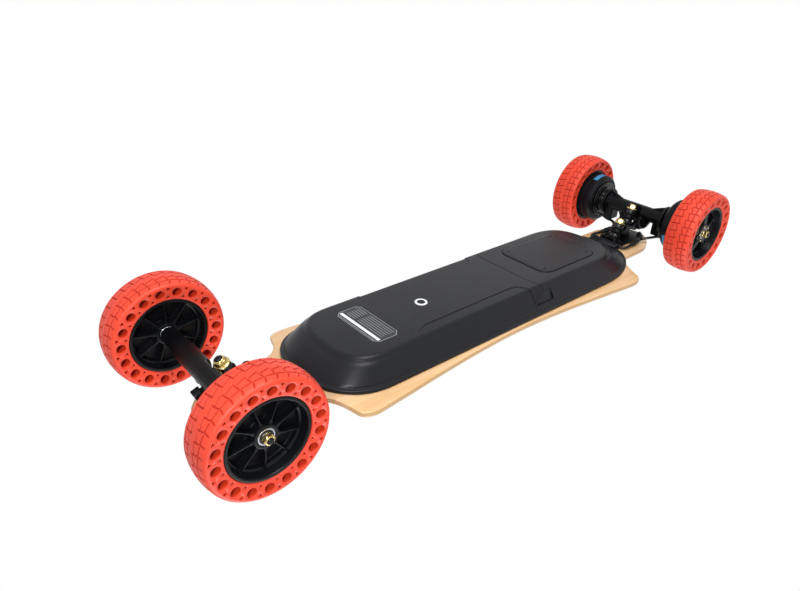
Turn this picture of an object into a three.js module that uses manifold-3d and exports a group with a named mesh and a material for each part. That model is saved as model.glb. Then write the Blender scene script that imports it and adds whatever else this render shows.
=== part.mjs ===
import * as THREE from 'three';
import { mergeVertices } from 'three/addons/utils/BufferGeometryUtils.js';
import Module from 'manifold-3d';

// Electric mountainboard standing on its four wheels.
// Millimetres, +X to the nose, +Y to the rider's left, +Z up, origin on the ground under mid-wheelbase.

const wasm = await Module();
wasm.setup();

// Driving dimensions: the whole board
const wheelbase = 980;
const tyreDiameter = 165;
const frontTrack = 266;
const rearTrack = 272;
const deckRise = 54.5;
const gap = 0.3;
const overrun = 2;

// Heights that follow from them
const tyreRadius = tyreDiameter / 2;
const axleHeight = tyreRadius;
const deckUnder = axleHeight + deckRise;

// Deck
const deckThickness = 9;
const deckLength = 1030;
const waistHalfWidth = 106;
const shoulderHalfWidth = 126;
const shoulderAt = 326;
const neckHalfWidth = 60;
const neckTaper = 1;
const cornerLead = 20;
const cornerReach = 12;
const cornerDrop = 16;
const cornerBulge = 1;
const tipLength = 75;
const waistHandleShares = [0.333, 0.7];
const waistRiseShare = 0.7;
const cornerHandleShare = 0.667;
const neckHandleShares = [[0.35, 0.64], [0.56, 0.985]];
const tipHandleShare = 0.373;
const tipTaperShare = 0.967;
const tipRoundShare = 0.5;
const concaveRise = 9.5;
const concaveFlatHalf = 45;
const concavePower = 1.6;
const concaveShares = [0, 0.3, 0.6, 0.85, 1.1];
const gripThickness = 1;
const gripInset = 1.5;

// Case under the deck
const caseDepth = 36.5;
const caseNose = 365;
const caseTail = 388;
const caseHalfWidth = 103;
const flangeThickness = 4.5;
const flangeRim = 9;
const flangeNoseRim = 15;
const flangeTailRim = 13;
const faceNose = 318;
const faceTail = 314;
const faceHalfWidth = 74;
const caseBevel = 6;
const flangeBlends = { noseBlend: 103, tailBlend: 138, fullness: 2.3 };
const wallBlends = { noseBlend: 100, tailBlend: 132, fullness: 2.5 };
const shoulderBlends = { noseBlend: 90, tailBlend: 95, fullness: 2.8 };
const faceBlends = { noseBlend: 84, tailBlend: 90, fullness: 3 };
const caseWall = 3;
const gasketThickness = 1.2;
const gasketInset = 3;
const gasketWidth = 7;

// Hatch, label recess, side steps and joint line on the case
const hatchCentre = -194;
const hatchLength = 152;
const hatchWidth = 114;
const hatchCorner = 22;
const hatchThickness = 2.5;
const hatchPocket = 0.7;
const hatchLedge = 8;
const labelCentre = 235;
const labelLength = 48;
const labelWidth = 104;
const labelDepth = 0.6;
const labelChamfer = 8;
const stepNose = 186;
const stepTail = 48;
const stepHalfWidth = 53;
const stepDepth = 2.2;
const stepCorner = 18;
const jointLineAt = -73;
const jointLineWidth = 1.6;
const jointLineDepth = 1;

// Power button and its ring
const buttonAt = 126;
const buttonRadius = 6.5;
const buttonHeight = 8;
const buttonStand = 0.8;
const buttonTravel = 1.5;
const buttonCollar = 2;
const ringRadius = 10.5;
const ringThickness = 3.4;
const ringStand = 0.6;

// Charge port and its rubber cap on the right side wall
const portAt = -78;
const portRadius = 9;
const portLength = 18;
const portSocketRadius = 6.2;
const portSocketDepth = 14;
const capLength = 42;
const capWidth = 19;
const capThickness = 2;
const capPocket = 0.9;
const capPlugRadius = 4.6;
const capPlugLength = 4;
const capHingeRoom = 1.8;

// Parts inside the case
const batteryLength = 420;
const batteryWidth = 128;
const batteryHeight = 24;
const batteryNose = 290;
const controllerLength = 116;
const controllerWidth = 88;
const controllerHeight = 20;
const controllerAt = -206;
const finCount = 7;
const finHeight = 4;
const finThickness = 3;

// Cable cover on the tail end of the case
const coverReach = 16.5;
const coverLap = 12;
const coverWidth = 62;
const coverHeight = 9.6;
const coverLead = 5;

// Truck: two kingpins leaning outwards, swivel between base plate and hanger
const kingpinLean = THREE.MathUtils.degToRad(22);
const seatInboard = 63.5;
const seatRise = 31.5;
const plateLength = 92;
const plateWidth = 56;
const plateThickness = 5;
const plateOutboard = 8;
const plateCorner = 9;
const kingpinRadius = 5;
const eyeRadius = 14;
const eyeHeight = 8;
const eyeHoleRadius = 7.5;
const bushingRadius = 11.5;
const bushingHeight = 11.4;
const bushingEdgeShare = 0.92;
const washerRadius = 11.5;
const washerHeight = 2;
const kingpinNutFlats = 15;
const kingpinNutHeight = 8;
const kingpinTip = 2;
const kingpinGrip = 4.5;
const hangerPinGrip = 7;
const bossRadius = 17;
const stubRadius = 5;
const stubRoom = 0.6;
const cupRadius = 9;
const basePivotReach = 38;
const hangerPivotReach = 42;
const cupDepth = 3;
const cupFloor = 5;
const cupLip = 4;
const hangerDrop = 35.5;
const hangerShift = 25;
const seatBossRadius = 12;
const seatBossHeight = 8;
const webHalfThickness = 12;
const webStep = 1;
const webLead = 2;
const bridgeInset = 1;
const barRadius = 15;
const barEndRadius = 12;
const frontBarRoom = 1.5;
const frontBarStep = 1;
const frontShoulderShare = 0.62;
const rearBarReach = 2.5;
const blockRoom = 5.7;
const blockWidth = 18;
const blockHalfLength = 13;
const blockTop = 34.5;
const nutSwing = 6.5;
const nutRoom = 1.5;

// Axle, bearing and axle nut
const axleRadius = 4;
const bearingRadius = 11;
const bearingWidth = 7;
const bearingAt = 11.5;
const axleNutFlats = 13;
const axleNutHeight = 7;
const axleNutFlange = 1.6;
const axleNutFlangeRadius = 7.6;
const axleTip = 2;

// Tyre and rims
const tyreDepth = 26.9;
const tyreSideAtBore = 22.5;
const tyreHalfWidth = 25.6;
const tyreHoleRadius = 6.3;
const tyreHoleRise = 10.9;
const tyreHoleRim = 1;
const tyreHoleCount = 18;
const tyreHoleFaces = 6;
const tyreHoleStartShare = 0.25;
const tyreShoulderDrop = 3;
const tyreShoulderShare = 0.78;
const tyreCrownShare = 0.42;
const rimHalfWidth = 22.2;
const rimBarrel = 5;
const webThickness = 4;
const hubRadius = 16;
const hubHalfLength = 15;
const hubBoreRadius = 6.5;
const ribCount = 9;
const ribThickness = 2.2;
const ribHalfHeight = 15;
const spokeCount = 5;
const spokeWidth = 13;
const spokeFace = 15;
const spokeFloor = -12;
const rearHubRadius = 20;

// Hub motor
const rotorRoom = 0.5;
const rotorWall = 3.4;
const rotorInset = 18.2;
const rotorLength = 35.3;
const rotorRingWidth = 10.3;
const statorRoom = 1.5;
const statorStand = 2.5;
const statorCollarLength = 8;
const statorCollarRadius = 23;
const coreRoom = 2.4;
const coreInset = 7.8;
const rotorBoreRadius = 6;

// Radii and places in the wheels that follow from each other
const tyreBoreRadius = tyreRadius - tyreDepth;
const tyreHoleCircle = tyreBoreRadius + tyreHoleRise;
const barrelRadius = tyreBoreRadius - gap - rimBarrel;
const rotorRadius = barrelRadius - rotorRoom;
const rotorOutboard = rearTrack / 2 - rotorInset;
const rotorInboard = rotorOutboard - rotorLength;
const rotorRingRadius = rotorRadius - rotorRingWidth;
const statorRadius = rotorRingRadius - statorRoom;
const statorInboard = rotorInboard - statorStand;
const statorCollar = statorInboard - statorCollarLength;
const coreRadius = rotorRadius - rotorWall - coreRoom;
const coreOutboard = rotorOutboard - coreInset;
const frontBarEnd = frontTrack / 2 - hubHalfLength - frontBarRoom;
const rearBarShoulder = statorCollar - gap;
const rearBarEnd = coreOutboard + rearBarReach;
const blockOuter = rearBarShoulder - blockRoom;
const blockInner = blockOuter - blockWidth;

// Motor cables: the height of each point counts from the axles
const cableRadius = 2.8;
const cableBury = 8;
const plugRadius = 5.4;
const plugLength = 24;
const plugPlaceShare = 0.42;
const plugFaces = 6;
const cableSteps = 16;
const cableRoutes = {
  left: [
    [-396.5, 24, 49.5], [-396.5, 33, 49.5], [-399, 38, 49.1], [-407, 39.5, 48.5], [-424, 37, 48.1],
    [-440, 35, 47.9], [-456, 34.5, 47.5], [-470, 35.5, 45.9], [-481, 40, 42.5],
    [-487, 50, 40.3], [-487, 61, 39.5], [-486.4, 69, 36.9], [-486, 75.2, 34.5], [-486, 79.5, 34.5],
  ],
  right: [
    [-396.5, -24, 49.5], [-396.5, -33.5, 49.5], [-399.5, -39.5, 49.1], [-408, -42, 48.5], [-424, -41, 48.1],
    [-440, -39, 47.7], [-454, -38.5, 47.1], [-466, -41.5, 45.5], [-472, -52, 40.9],
    [-471.4, -64, 34.5], [-470.3, -71, 31.1], [-470, -75.5, 30.1], [-470, -79.5, 30.1],
  ],
};

// Faces around round pieces and steps along curves
const roundFine = 36;
const roundRotor = 32;
const roundStator = 24;
const roundEye = 20;
const roundMid = 16;
const roundSmall = 12;
const caseEndSteps = 8;
const deckCurveSteps = 6;
const cornerSteps = 4;

const materials = {
  maple: { color: 0xe3bf8c, roughness: 0.5, metalness: 0 },
  grip: { color: 0x161617, roughness: 0.95, metalness: 0 },
  casing: { color: 0x2b2c30, roughness: 0.45, metalness: 0 },
  seal: { color: 0x101011, roughness: 0.8, metalness: 0 },
  ring: { color: 0xf0f1f2, roughness: 0.35, metalness: 0 },
  alloyBlack: { color: 0x151617, roughness: 0.38, metalness: 0.5 },
  zinc: { color: 0xd8bd6a, roughness: 0.3, metalness: 0.9 },
  steel: { color: 0xb9bcc0, roughness: 0.25, metalness: 0.95 },
  urethane: { color: 0x141517, roughness: 0.4, metalness: 0 },
  tyre: { color: 0xee4a38, roughness: 0.62, metalness: 0 },
  nylon: { color: 0x17181a, roughness: 0.5, metalness: 0 },
  copper: { color: 0x7a4a2c, roughness: 0.5, metalness: 0.6 },
  cell: { color: 0x2f5f9c, roughness: 0.4, metalness: 0 },
  finned: { color: 0x8e9196, roughness: 0.4, metalness: 0.8 },
};

const board = new THREE.Group();

// Closed geometry to solid and back

function weld(geometry) {
  const bare = geometry.index ? geometry.toNonIndexed() : geometry.clone();
  bare.deleteAttribute('normal');
  bare.deleteAttribute('uv');
  const merged = mergeVertices(bare);
  const corners = merged.index.array;
  const kept = [];
  for (let i = 0; i < corners.length; i += 3) {
    const [a, b, c] = [corners[i], corners[i + 1], corners[i + 2]];
    if (a !== b && b !== c && c !== a) kept.push(a, b, c);
  }
  merged.setIndex(kept);
  return merged;
}

function solid(geometry, matrix = new THREE.Matrix4()) {
  const placed = weld(geometry).applyMatrix4(matrix);
  return new wasm.Manifold(new wasm.Mesh({
    numProp: 3,
    vertProperties: new Float32Array(placed.attributes.position.array),
    triVerts: new Uint32Array(placed.index.array),
  }));
}

function geometryOf(body) {
  const mesh = body.getMesh();
  const geometry = new THREE.BufferGeometry();
  geometry.setAttribute('position', new THREE.BufferAttribute(new Float32Array(mesh.vertProperties), 3));
  geometry.setIndex(new THREE.BufferAttribute(new Uint32Array(mesh.triVerts), 1));
  geometry.computeVertexNormals();
  return geometry;
}

function join(...bodies) {
  return bodies.reduce((whole, next) => whole.add(next));
}

function add(parent, name, body, material, position = [0, 0, 0], turn = [0, 0, 0]) {
  const geometry = body.isBufferGeometry ? weld(body) : geometryOf(body);
  const mesh = new THREE.Mesh(geometry, new THREE.MeshStandardMaterial(materials[material]));
  mesh.name = name;
  mesh.position.set(...position);
  mesh.rotation.set(...turn);
  parent.add(mesh);
  return mesh;
}

const boreFor = (radius) => (radius + gap) / Math.cos(Math.PI / roundSmall);
const at = (x, y, z) => new THREE.Matrix4().makeTranslation(x, y, z);
const about = (axis, angle) => new THREE.Matrix4()[`makeRotation${axis}`](angle);

// Primitive forms

function plan(points) {
  return new THREE.Shape(points.map(([x, y]) => new THREE.Vector2(x, y)));
}

function slab(shape, low, high) {
  const geometry = new THREE.ExtrudeGeometry(shape, { depth: high - low, bevelEnabled: false });
  return solid(geometry, at(0, 0, low));
}

function sidePlate(points, halfThickness) {
  const depth = 2 * halfThickness;
  const geometry = new THREE.ExtrudeGeometry(plan(points), { depth, bevelEnabled: false });
  return solid(geometry, about('X', Math.PI / 2).premultiply(at(0, halfThickness, 0)));
}

function block(low, high) {
  const size = high.map((value, i) => value - low[i]);
  const middle = high.map((value, i) => (value + low[i]) / 2);
  return solid(new THREE.BoxGeometry(...size), at(...middle));
}

function turned(profile, segments, matrix) {
  const area = profile.reduce((sum, [r, h], i) => {
    const [nextR, nextH] = profile[(i + 1) % profile.length];
    return sum + r * nextH - nextR * h;
  }, 0);
  const loop = area > 0 ? [...profile] : [...profile].reverse();
  const start = loop.findIndex(([r], i) => r > 0 || loop[(i + 1) % loop.length][0] > 0);
  const ordered = [...loop.slice(start), ...loop.slice(0, start)];
  ordered.push(ordered[0]);
  const points = ordered.map(([r, h]) => new THREE.Vector2(r, h));
  return solid(new THREE.LatheGeometry(points, segments), matrix);
}

function rod(radius, from, to, segments = roundSmall) {
  const start = new THREE.Vector3(...from);
  const path = new THREE.Vector3(...to).sub(start);
  const geometry = new THREE.CylinderGeometry(radius, radius, path.length(), segments);
  geometry.translate(0, path.length() / 2, 0);
  const along = path.clone().normalize();
  const turn = new THREE.Quaternion().setFromUnitVectors(new THREE.Vector3(0, 1, 0), along);
  return solid(geometry, new THREE.Matrix4().makeRotationFromQuaternion(turn).setPosition(start));
}

function hexagon(flats) {
  const corner = flats / Math.sqrt(3);
  return plan([...Array(6).keys()].map((i) => {
    const angle = (i * Math.PI) / 3;
    return [corner * Math.cos(angle), corner * Math.sin(angle)];
  }));
}

function roundedRectangle(length, width, corner, centreX = 0, centreY = 0) {
  const shape = new THREE.Shape();
  const [x, y] = [length / 2 - corner, width / 2 - corner];
  shape.absarc(centreX + x, centreY + y, corner, 0, Math.PI / 2);
  shape.absarc(centreX - x, centreY + y, corner, Math.PI / 2, Math.PI);
  shape.absarc(centreX - x, centreY - y, corner, Math.PI, 1.5 * Math.PI);
  shape.absarc(centreX + x, centreY - y, corner, 1.5 * Math.PI, 2 * Math.PI);
  return plan(shape.getPoints(cornerSteps).map((p) => [p.x, p.y]));
}

// Concave of the deck: flat in the middle, rising to both edges

function concaveAt(y) {
  const share = Math.max(0, Math.abs(y) - concaveFlatHalf) / (shoulderHalfWidth - concaveFlatHalf);
  return concaveRise * share ** concavePower;
}

function band(low, high) {
  const side = concaveShares.map((share) => concaveFlatHalf + share * (shoulderHalfWidth - concaveFlatHalf));
  const across = [...side.map((y) => -y).reverse(), ...side];
  const points = [
    ...across.map((y) => [y, low + concaveAt(y)]),
    ...[...across].reverse().map((y) => [y, high + concaveAt(y)]),
  ];
  const geometry = new THREE.ExtrudeGeometry(plan(points), { depth: deckLength, bevelEnabled: false });
  const turn = new THREE.Matrix4().makeBasis(
    new THREE.Vector3(0, 1, 0), new THREE.Vector3(0, 0, 1), new THREE.Vector3(1, 0, 0),
  );
  return solid(geometry, turn.premultiply(at(-deckLength / 2, 0, 0)));
}

// Plan outlines

function deckOutline(inset) {
  const tip = deckLength / 2 - inset;
  const neck = neckHalfWidth - inset;
  const shoulder = shoulderHalfWidth - inset;
  const waist = waistHalfWidth - inset;
  const tipAt = tip - tipLength;
  const neckAt = (shoulderAt + tipAt) / 2;
  const neckHandles = neckHandleShares.map(([along, down]) => [
    shoulderAt + along * (neckAt - shoulderAt), shoulder - down * (shoulder - neck),
  ]);
  const waistHandle = [waistHandleShares[1] * shoulderAt, waist + waistRiseShare * (shoulder - waist)];
  const cornerHandle = [shoulderAt + cornerHandleShare * cornerReach - inset, shoulder + cornerBulge];
  const tipHandle = [tipAt + tipHandleShare * tipLength, tipTaperShare * (neck - neckTaper)];
  const quarter = new THREE.Path();
  quarter.moveTo(0, waist);
  quarter.bezierCurveTo(
    waistHandleShares[0] * shoulderAt, waist, ...waistHandle, shoulderAt - cornerLead, shoulder,
  );
  quarter.quadraticCurveTo(...cornerHandle, shoulderAt + cornerReach - inset, shoulder - cornerDrop);
  quarter.bezierCurveTo(...neckHandles[0], ...neckHandles[1], neckAt, neck);
  quarter.lineTo(tipAt, neck - neckTaper);
  quarter.bezierCurveTo(...tipHandle, tip, tipRoundShare * neck, tip, 0);
  const points = quarter.getPoints(deckCurveSteps).map((p) => [p.x, p.y]);
  const nose = [...points, ...points.slice(0, -1).reverse().map(([x, y]) => [x, -y])];
  return [...nose, ...nose.slice(1, -1).reverse().map(([x, y]) => [-x, y])];
}

function caseOutline({ nose, tail, half, noseBlend, tailBlend, fullness }) {
  const end = (reach, blend, sign) => [...Array(caseEndSteps + 1).keys()].map((i) => {
    const angle = (i / caseEndSteps) * (Math.PI / 2);
    const x = reach - blend + blend * Math.cos(angle) ** (2 / fullness);
    return [sign * x, half * Math.sin(angle) ** (2 / fullness)];
  });
  const front = end(nose, noseBlend, 1);
  const back = end(tail, tailBlend, -1).reverse();
  const upper = [...front, ...back];
  return [...upper, ...upper.slice(1, -1).reverse().map(([x, y]) => [x, -y])];
}

const flangeOutline = { nose: caseNose, tail: caseTail, half: caseHalfWidth, ...flangeBlends };
const wallOutline = {
  nose: caseNose - flangeNoseRim,
  tail: caseTail - flangeTailRim,
  half: caseHalfWidth - flangeRim,
  ...wallBlends,
};
const shoulderOutline = {
  nose: faceNose + caseBevel,
  tail: faceTail + caseBevel,
  half: faceHalfWidth + caseBevel,
  ...shoulderBlends,
};
const faceOutline = { nose: faceNose, tail: faceTail, half: faceHalfWidth, ...faceBlends };

function inward(outline, inset) {
  return { ...outline, nose: outline.nose - inset, tail: outline.tail - inset, half: outline.half - inset };
}

function loft(layers) {
  const count = layers[0].points.length;
  const positions = [];
  const index = [];
  for (const { points, z } of layers) {
    for (const [x, y] of points) positions.push(x, y, z);
  }
  for (let layer = 0; layer + 1 < layers.length; layer += 1) {
    for (let i = 0; i < count; i += 1) {
      const [a, b] = [layer * count + i, layer * count + ((i + 1) % count)];
      index.push(a, b, b + count, a, b + count, a + count);
    }
  }
  for (const [layer, flip] of [[0, true], [layers.length - 1, false]]) {
    const contour = layers[layer].points.map(([x, y]) => new THREE.Vector2(x, y));
    for (const [a, b, c] of THREE.ShapeUtils.triangulateShape(contour, [])) {
      index.push(...(flip ? [c, b, a] : [a, b, c]).map((corner) => layer * count + corner));
    }
  }
  const geometry = new THREE.BufferGeometry();
  geometry.setAttribute('position', new THREE.BufferAttribute(new Float32Array(positions), 3));
  geometry.setIndex(index);
  return solid(geometry);
}

// Deck and grip tape

const deckOver = deckUnder + deckThickness;
const deckTopRise = deckOver + gripThickness + concaveRise + overrun;

function makeDeck() {
  const outline = slab(plan(deckOutline(0)), deckUnder - overrun, deckTopRise);
  add(board, 'deck', outline.intersect(band(deckUnder, deckOver)), 'maple');
  const tape = slab(plan(deckOutline(gripInset)), deckUnder - overrun, deckTopRise);
  add(board, 'grip_tape', tape.intersect(band(deckOver + gap, deckOver + gap + gripThickness)), 'grip');
}

// Case: flange that follows the concave, sloped walls, flat face with its steps

const flangeTop = deckUnder - gasketThickness - 2 * gap;
const caseFace = deckUnder - caseDepth;
const wallFoot = flangeTop - flangeThickness;
const openTop = flangeTop + concaveRise + overrun;

function wallLoft(inset, top) {
  const ring = (outline) => caseOutline(inward(outline, inset));
  return loft([
    { points: ring(faceOutline), z: caseFace + inset },
    { points: ring(shoulderOutline), z: caseFace + caseBevel + inset / 2 },
    { points: ring(wallOutline), z: wallFoot },
    { points: ring(wallOutline), z: top },
  ]);
}

function sideStep(side) {
  const outer = (caseHalfWidth + overrun) * side;
  const inner = stepHalfWidth * side;
  const shape = new THREE.Shape();
  shape.moveTo(stepNose + stepCorner, outer);
  shape.lineTo(stepNose + stepCorner, inner + stepCorner * side);
  shape.quadraticCurveTo(stepNose, inner + stepCorner * side / 3, stepNose - stepCorner, inner);
  shape.lineTo(-stepTail + stepCorner, inner);
  shape.quadraticCurveTo(-stepTail, inner, -stepTail - stepCorner / 2, inner + stepCorner * side);
  shape.lineTo(-stepTail - stepCorner / 2, outer);
  const points = shape.getPoints(cornerSteps).map((p) => [p.x, p.y]);
  return slab(plan(points), caseFace - overrun, caseFace + stepDepth);
}

const wallSlope = Math.atan2(
  wallOutline.half - shoulderOutline.half,
  wallFoot - caseFace - caseBevel,
);
const wallMiddle = [
  portAt,
  -(wallOutline.half + shoulderOutline.half) / 2,
  (wallFoot + caseFace + caseBevel) / 2,
];
const wallFrame = at(...wallMiddle).multiply(about('X', Math.PI / 2 + wallSlope));

function chamferedRectangle(length, width, chamfer, centreX) {
  const [x, y] = [length / 2, width / 2];
  const corners = [
    [x, y - chamfer], [x - chamfer, y], [chamfer - x, y], [-x, y - chamfer],
    [-x, chamfer - y], [chamfer - x, -y], [x - chamfer, -y], [x, chamfer - y],
  ];
  return plan(corners.map(([px, py]) => [px + centreX, py]));
}

function makeCase() {
  const flange = slab(plan(caseOutline(flangeOutline)), wallFoot - overrun, openTop);
  const rim = flange.intersect(band(wallFoot, flangeTop));
  const belowDeck = band(flangeTop, openTop + concaveRise + deckThickness);
  const outer = wallLoft(0, openTop).subtract(belowDeck);
  const hollow = wallLoft(caseWall, openTop + overrun);
  const openingSize = [hatchLength - 2 * hatchLedge, hatchWidth - 2 * hatchLedge, hatchCorner - hatchLedge];
  const hatchOpening = slab(
    roundedRectangle(...openingSize, hatchCentre), caseFace - overrun, caseFace + caseWall + overrun,
  );
  const hatchSeat = slab(
    roundedRectangle(hatchLength + 2 * gap, hatchWidth + 2 * gap, hatchCorner, hatchCentre),
    caseFace - overrun, caseFace + hatchPocket,
  );
  const label = slab(
    chamferedRectangle(labelLength, labelWidth, labelChamfer, labelCentre),
    caseFace - overrun, caseFace + labelDepth,
  );
  const line = block(
    [jointLineAt - jointLineWidth / 2, -caseHalfWidth, caseFace - overrun],
    [jointLineAt + jointLineWidth / 2, caseHalfWidth, caseFace + jointLineDepth],
  );
  const ringHole = rod(
    ringRadius + gap,
    [buttonAt, 0, caseFace - overrun], [buttonAt, 0, caseFace + ringThickness - ringStand], roundMid,
  );
  const buttonHole = rod(
    buttonRadius + gap,
    [buttonAt, 0, caseFace], [buttonAt, 0, caseFace + caseWall + overrun], roundMid,
  );
  const capSeat = solid(
    new THREE.BoxGeometry(capLength + capHingeRoom + 2 * gap, capWidth + 2 * gap, capPocket + overrun),
    wallFrame.clone().multiply(at(capHingeRoom / 2, 0, (overrun - capPocket) / 2)),
  );
  const portHole = solid(
    new THREE.CylinderGeometry(portRadius + gap, portRadius + gap, 4 * caseWall, roundMid),
    wallFrame.clone().multiply(about('X', Math.PI / 2)),
  );
  const cuts = [
    hatchOpening, hatchSeat, label, line, sideStep(1), sideStep(-1), ringHole, buttonHole, capSeat, portHole,
  ];
  const shell = cuts.reduce((rest, cut) => rest.subtract(cut), join(rim, outer).subtract(hollow));
  add(board, 'case_shell', shell, 'casing');

  const sealPlan = (inset) => plan(caseOutline(inward(flangeOutline, inset)));
  const sealTop = openTop + gasketThickness;
  const sealOuter = slab(sealPlan(gasketInset), flangeTop - overrun, sealTop);
  const sealInner = slab(
    sealPlan(gasketInset + gasketWidth), flangeTop - 2 * overrun, sealTop + overrun,
  );
  const sealBand = band(flangeTop + gap, flangeTop + gap + gasketThickness);
  const seal = sealOuter.subtract(sealInner).intersect(sealBand);
  add(board, 'case_gasket', seal, 'seal');

  const plateTop = caseFace + hatchPocket - gap;
  const plate = slab(
    roundedRectangle(hatchLength, hatchWidth, hatchCorner, hatchCentre), plateTop - hatchThickness, plateTop,
  );
  add(board, 'hatch_cover', plate, 'casing');
}

function makeButton() {
  const ringLow = caseFace - ringStand;
  const ring = turned([
    [buttonRadius + gap, ringLow], [ringRadius, ringLow],
    [ringRadius, ringLow + ringThickness - gap], [buttonRadius + gap, ringLow + ringThickness - gap],
  ], roundMid, about('X', Math.PI / 2));
  add(board, 'button_ring', ring, 'ring', [buttonAt, 0, 0]);
  const low = caseFace - buttonStand;
  const neck = rod(buttonRadius, [0, 0, low], [0, 0, caseFace + caseWall + 2 * gap], roundMid);
  const collar = rod(
    buttonRadius + buttonCollar,
    [0, 0, caseFace + caseWall + gap], [0, 0, low + buttonHeight - buttonTravel], roundMid,
  );
  add(board, 'power_button', join(neck, collar), 'nylon', [buttonAt, 0, 0]);
}

function makeChargePort() {
  const socket = turned([
    [0, -portLength], [portRadius, -portLength], [portRadius, -capPocket - gap],
    [portSocketRadius, -capPocket - gap], [portSocketRadius, -portSocketDepth], [0, -portSocketDepth],
  ], roundMid, wallFrame.clone().multiply(about('X', Math.PI / 2)));
  add(board, 'charge_port', socket, 'nylon');
  const flapLow = gap - capPocket;
  const flap = block(
    [-capLength / 2, -capWidth / 2, flapLow], [capLength / 2, capWidth / 2, flapLow + capThickness],
  );
  const plug = rod(capPlugRadius, [0, 0, flapLow - capPlugLength], [0, 0, 0]);
  const placed = add(board, 'charge_port_cap', join(flap, plug), 'seal');
  placed.applyMatrix4(wallFrame);
}

function makeInsides() {
  const base = deckUnder - gap;
  add(board, 'battery_pack', block(
    [batteryNose - batteryLength, -batteryWidth / 2, base - batteryHeight],
    [batteryNose, batteryWidth / 2, base],
  ), 'cell');
  const body = block(
    [controllerAt - controllerLength / 2, -controllerWidth / 2, base - controllerHeight],
    [controllerAt + controllerLength / 2, controllerWidth / 2, base],
  );
  const pitch = controllerWidth / finCount;
  const fins = [...Array(finCount).keys()].map((i) => {
    const middle = (i + 0.5) * pitch - controllerWidth / 2;
    return block(
      [controllerAt - controllerLength / 2, middle - finThickness / 2, base - controllerHeight - finHeight],
      [controllerAt + controllerLength / 2, middle + finThickness / 2, base - controllerHeight + overrun],
    );
  });
  add(board, 'motor_controller', join(body, ...fins), 'finned');
}

function makeCableCover() {
  const overRim = wallFoot - deckUnder - gap;
  const cover = sidePlate([
    [-coverReach, -coverLead], [-coverReach + coverLead, -coverHeight], [coverLap, -coverHeight],
    [coverLap, overRim], [-gap, overRim], [-gap, -gap], [-coverReach, -gap],
  ], coverWidth / 2);
  const [x, , rise] = cableRoutes.left[0];
  const outlets = [-1, 1].map((side) => rod(
    boreFor(cableRadius),
    [x + caseTail, side * (coverWidth / 2 - cableBury), rise - deckRise],
    [x + caseTail, side * coverWidth, rise - deckRise],
  ));
  const body = outlets.reduce((rest, outlet) => rest.subtract(outlet), cover);
  add(board, 'cable_cover', body, 'casing', [-caseTail, 0, deckUnder]);
}

// Trucks

const seatTop = eyeHeight / 2 + gap + bushingHeight + gap;
const nutTop = -(eyeHeight / 2 + 2 * gap + bushingHeight);
const nutLow = nutTop - washerHeight - kingpinNutHeight;
const axleAlong = seatInboard * Math.cos(kingpinLean) - seatRise * Math.sin(kingpinLean);
const axleAcross = -seatInboard * Math.sin(kingpinLean) - seatRise * Math.cos(kingpinLean);
const steerFrame = at(-seatInboard, 0, seatRise).multiply(about('Y', -kingpinLean));

function kingpin(top) {
  return rod(kingpinRadius, [0, 0, nutLow - kingpinTip], [0, 0, top]);
}

function kingpinNut() {
  const washer = rod(washerRadius, [0, 0, nutTop - washerHeight], [0, 0, nutTop], roundMid);
  const hex = slab(hexagon(kingpinNutFlats), nutLow, nutTop - gap);
  const hole = rod(kingpinRadius + gap, [0, 0, nutLow - overrun], [0, 0, nutTop + overrun]);
  return join(washer, hex).subtract(hole);
}

function bushing(low) {
  const edge = bushingEdgeShare * bushingRadius;
  return turned([
    [kingpinRadius + gap, low], [edge, low], [bushingRadius, low + bushingHeight / 2],
    [edge, low + bushingHeight], [kingpinRadius + gap, low + bushingHeight],
  ], roundSmall, about('X', Math.PI / 2));
}

function addStack(frame, names, shift, drop, gripEnd) {
  const place = [shift, 0, -drop];
  add(frame, names.pin, kingpin(seatTop + gripEnd - gap), 'steel', place);
  add(frame, names.nut, kingpinNut(), 'zinc', place);
  add(frame, names.inner, bushing(eyeHeight / 2 + gap), 'urethane', place);
  add(frame, names.outer, bushing(nutTop + gap), 'urethane', place);
}

function basePlate() {
  const steered = (body) => body.transform(steerFrame.elements);
  const top = deckRise - gap;
  const plate = slab(
    roundedRectangle(plateLength, plateWidth, plateCorner, plateOutboard - plateLength / 2),
    top - plateThickness, top,
  );
  const boss = steered(rod(
    bossRadius, [0, 0, seatTop], [0, 0, seatTop + 2 * kingpinGrip + bossRadius], roundMid,
  ));
  const cup = steered(rod(
    cupRadius, [basePivotReach - cupFloor, 0, 0], [basePivotReach + cupFloor + cupDepth, 0, 0],
  ));
  const above = block([-2 * plateLength, -plateWidth, top], [plateLength, plateWidth, top + plateLength]);
  const inboard = block(
    [-2 * plateLength, -plateWidth, top - plateLength],
    [plateOutboard - plateLength, plateWidth, top + overrun],
  );
  const pinHole = steered(rod(kingpinRadius + gap, [0, 0, 0], [0, 0, seatTop + kingpinGrip]));
  const stubHole = steered(rod(
    stubRadius + stubRoom, [basePivotReach - 2 * cupFloor, 0, 0], [basePivotReach + cupDepth, 0, 0],
  ));
  const bushingPocket = steered(rod(bushingRadius + 4 * gap, [0, 0, 0], [0, 0, seatTop]));
  const cuts = [above, inboard, bushingPocket, pinHole, stubHole];
  return cuts.reduce((rest, cut) => rest.subtract(cut), join(plate, boss, cup));
}

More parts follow.
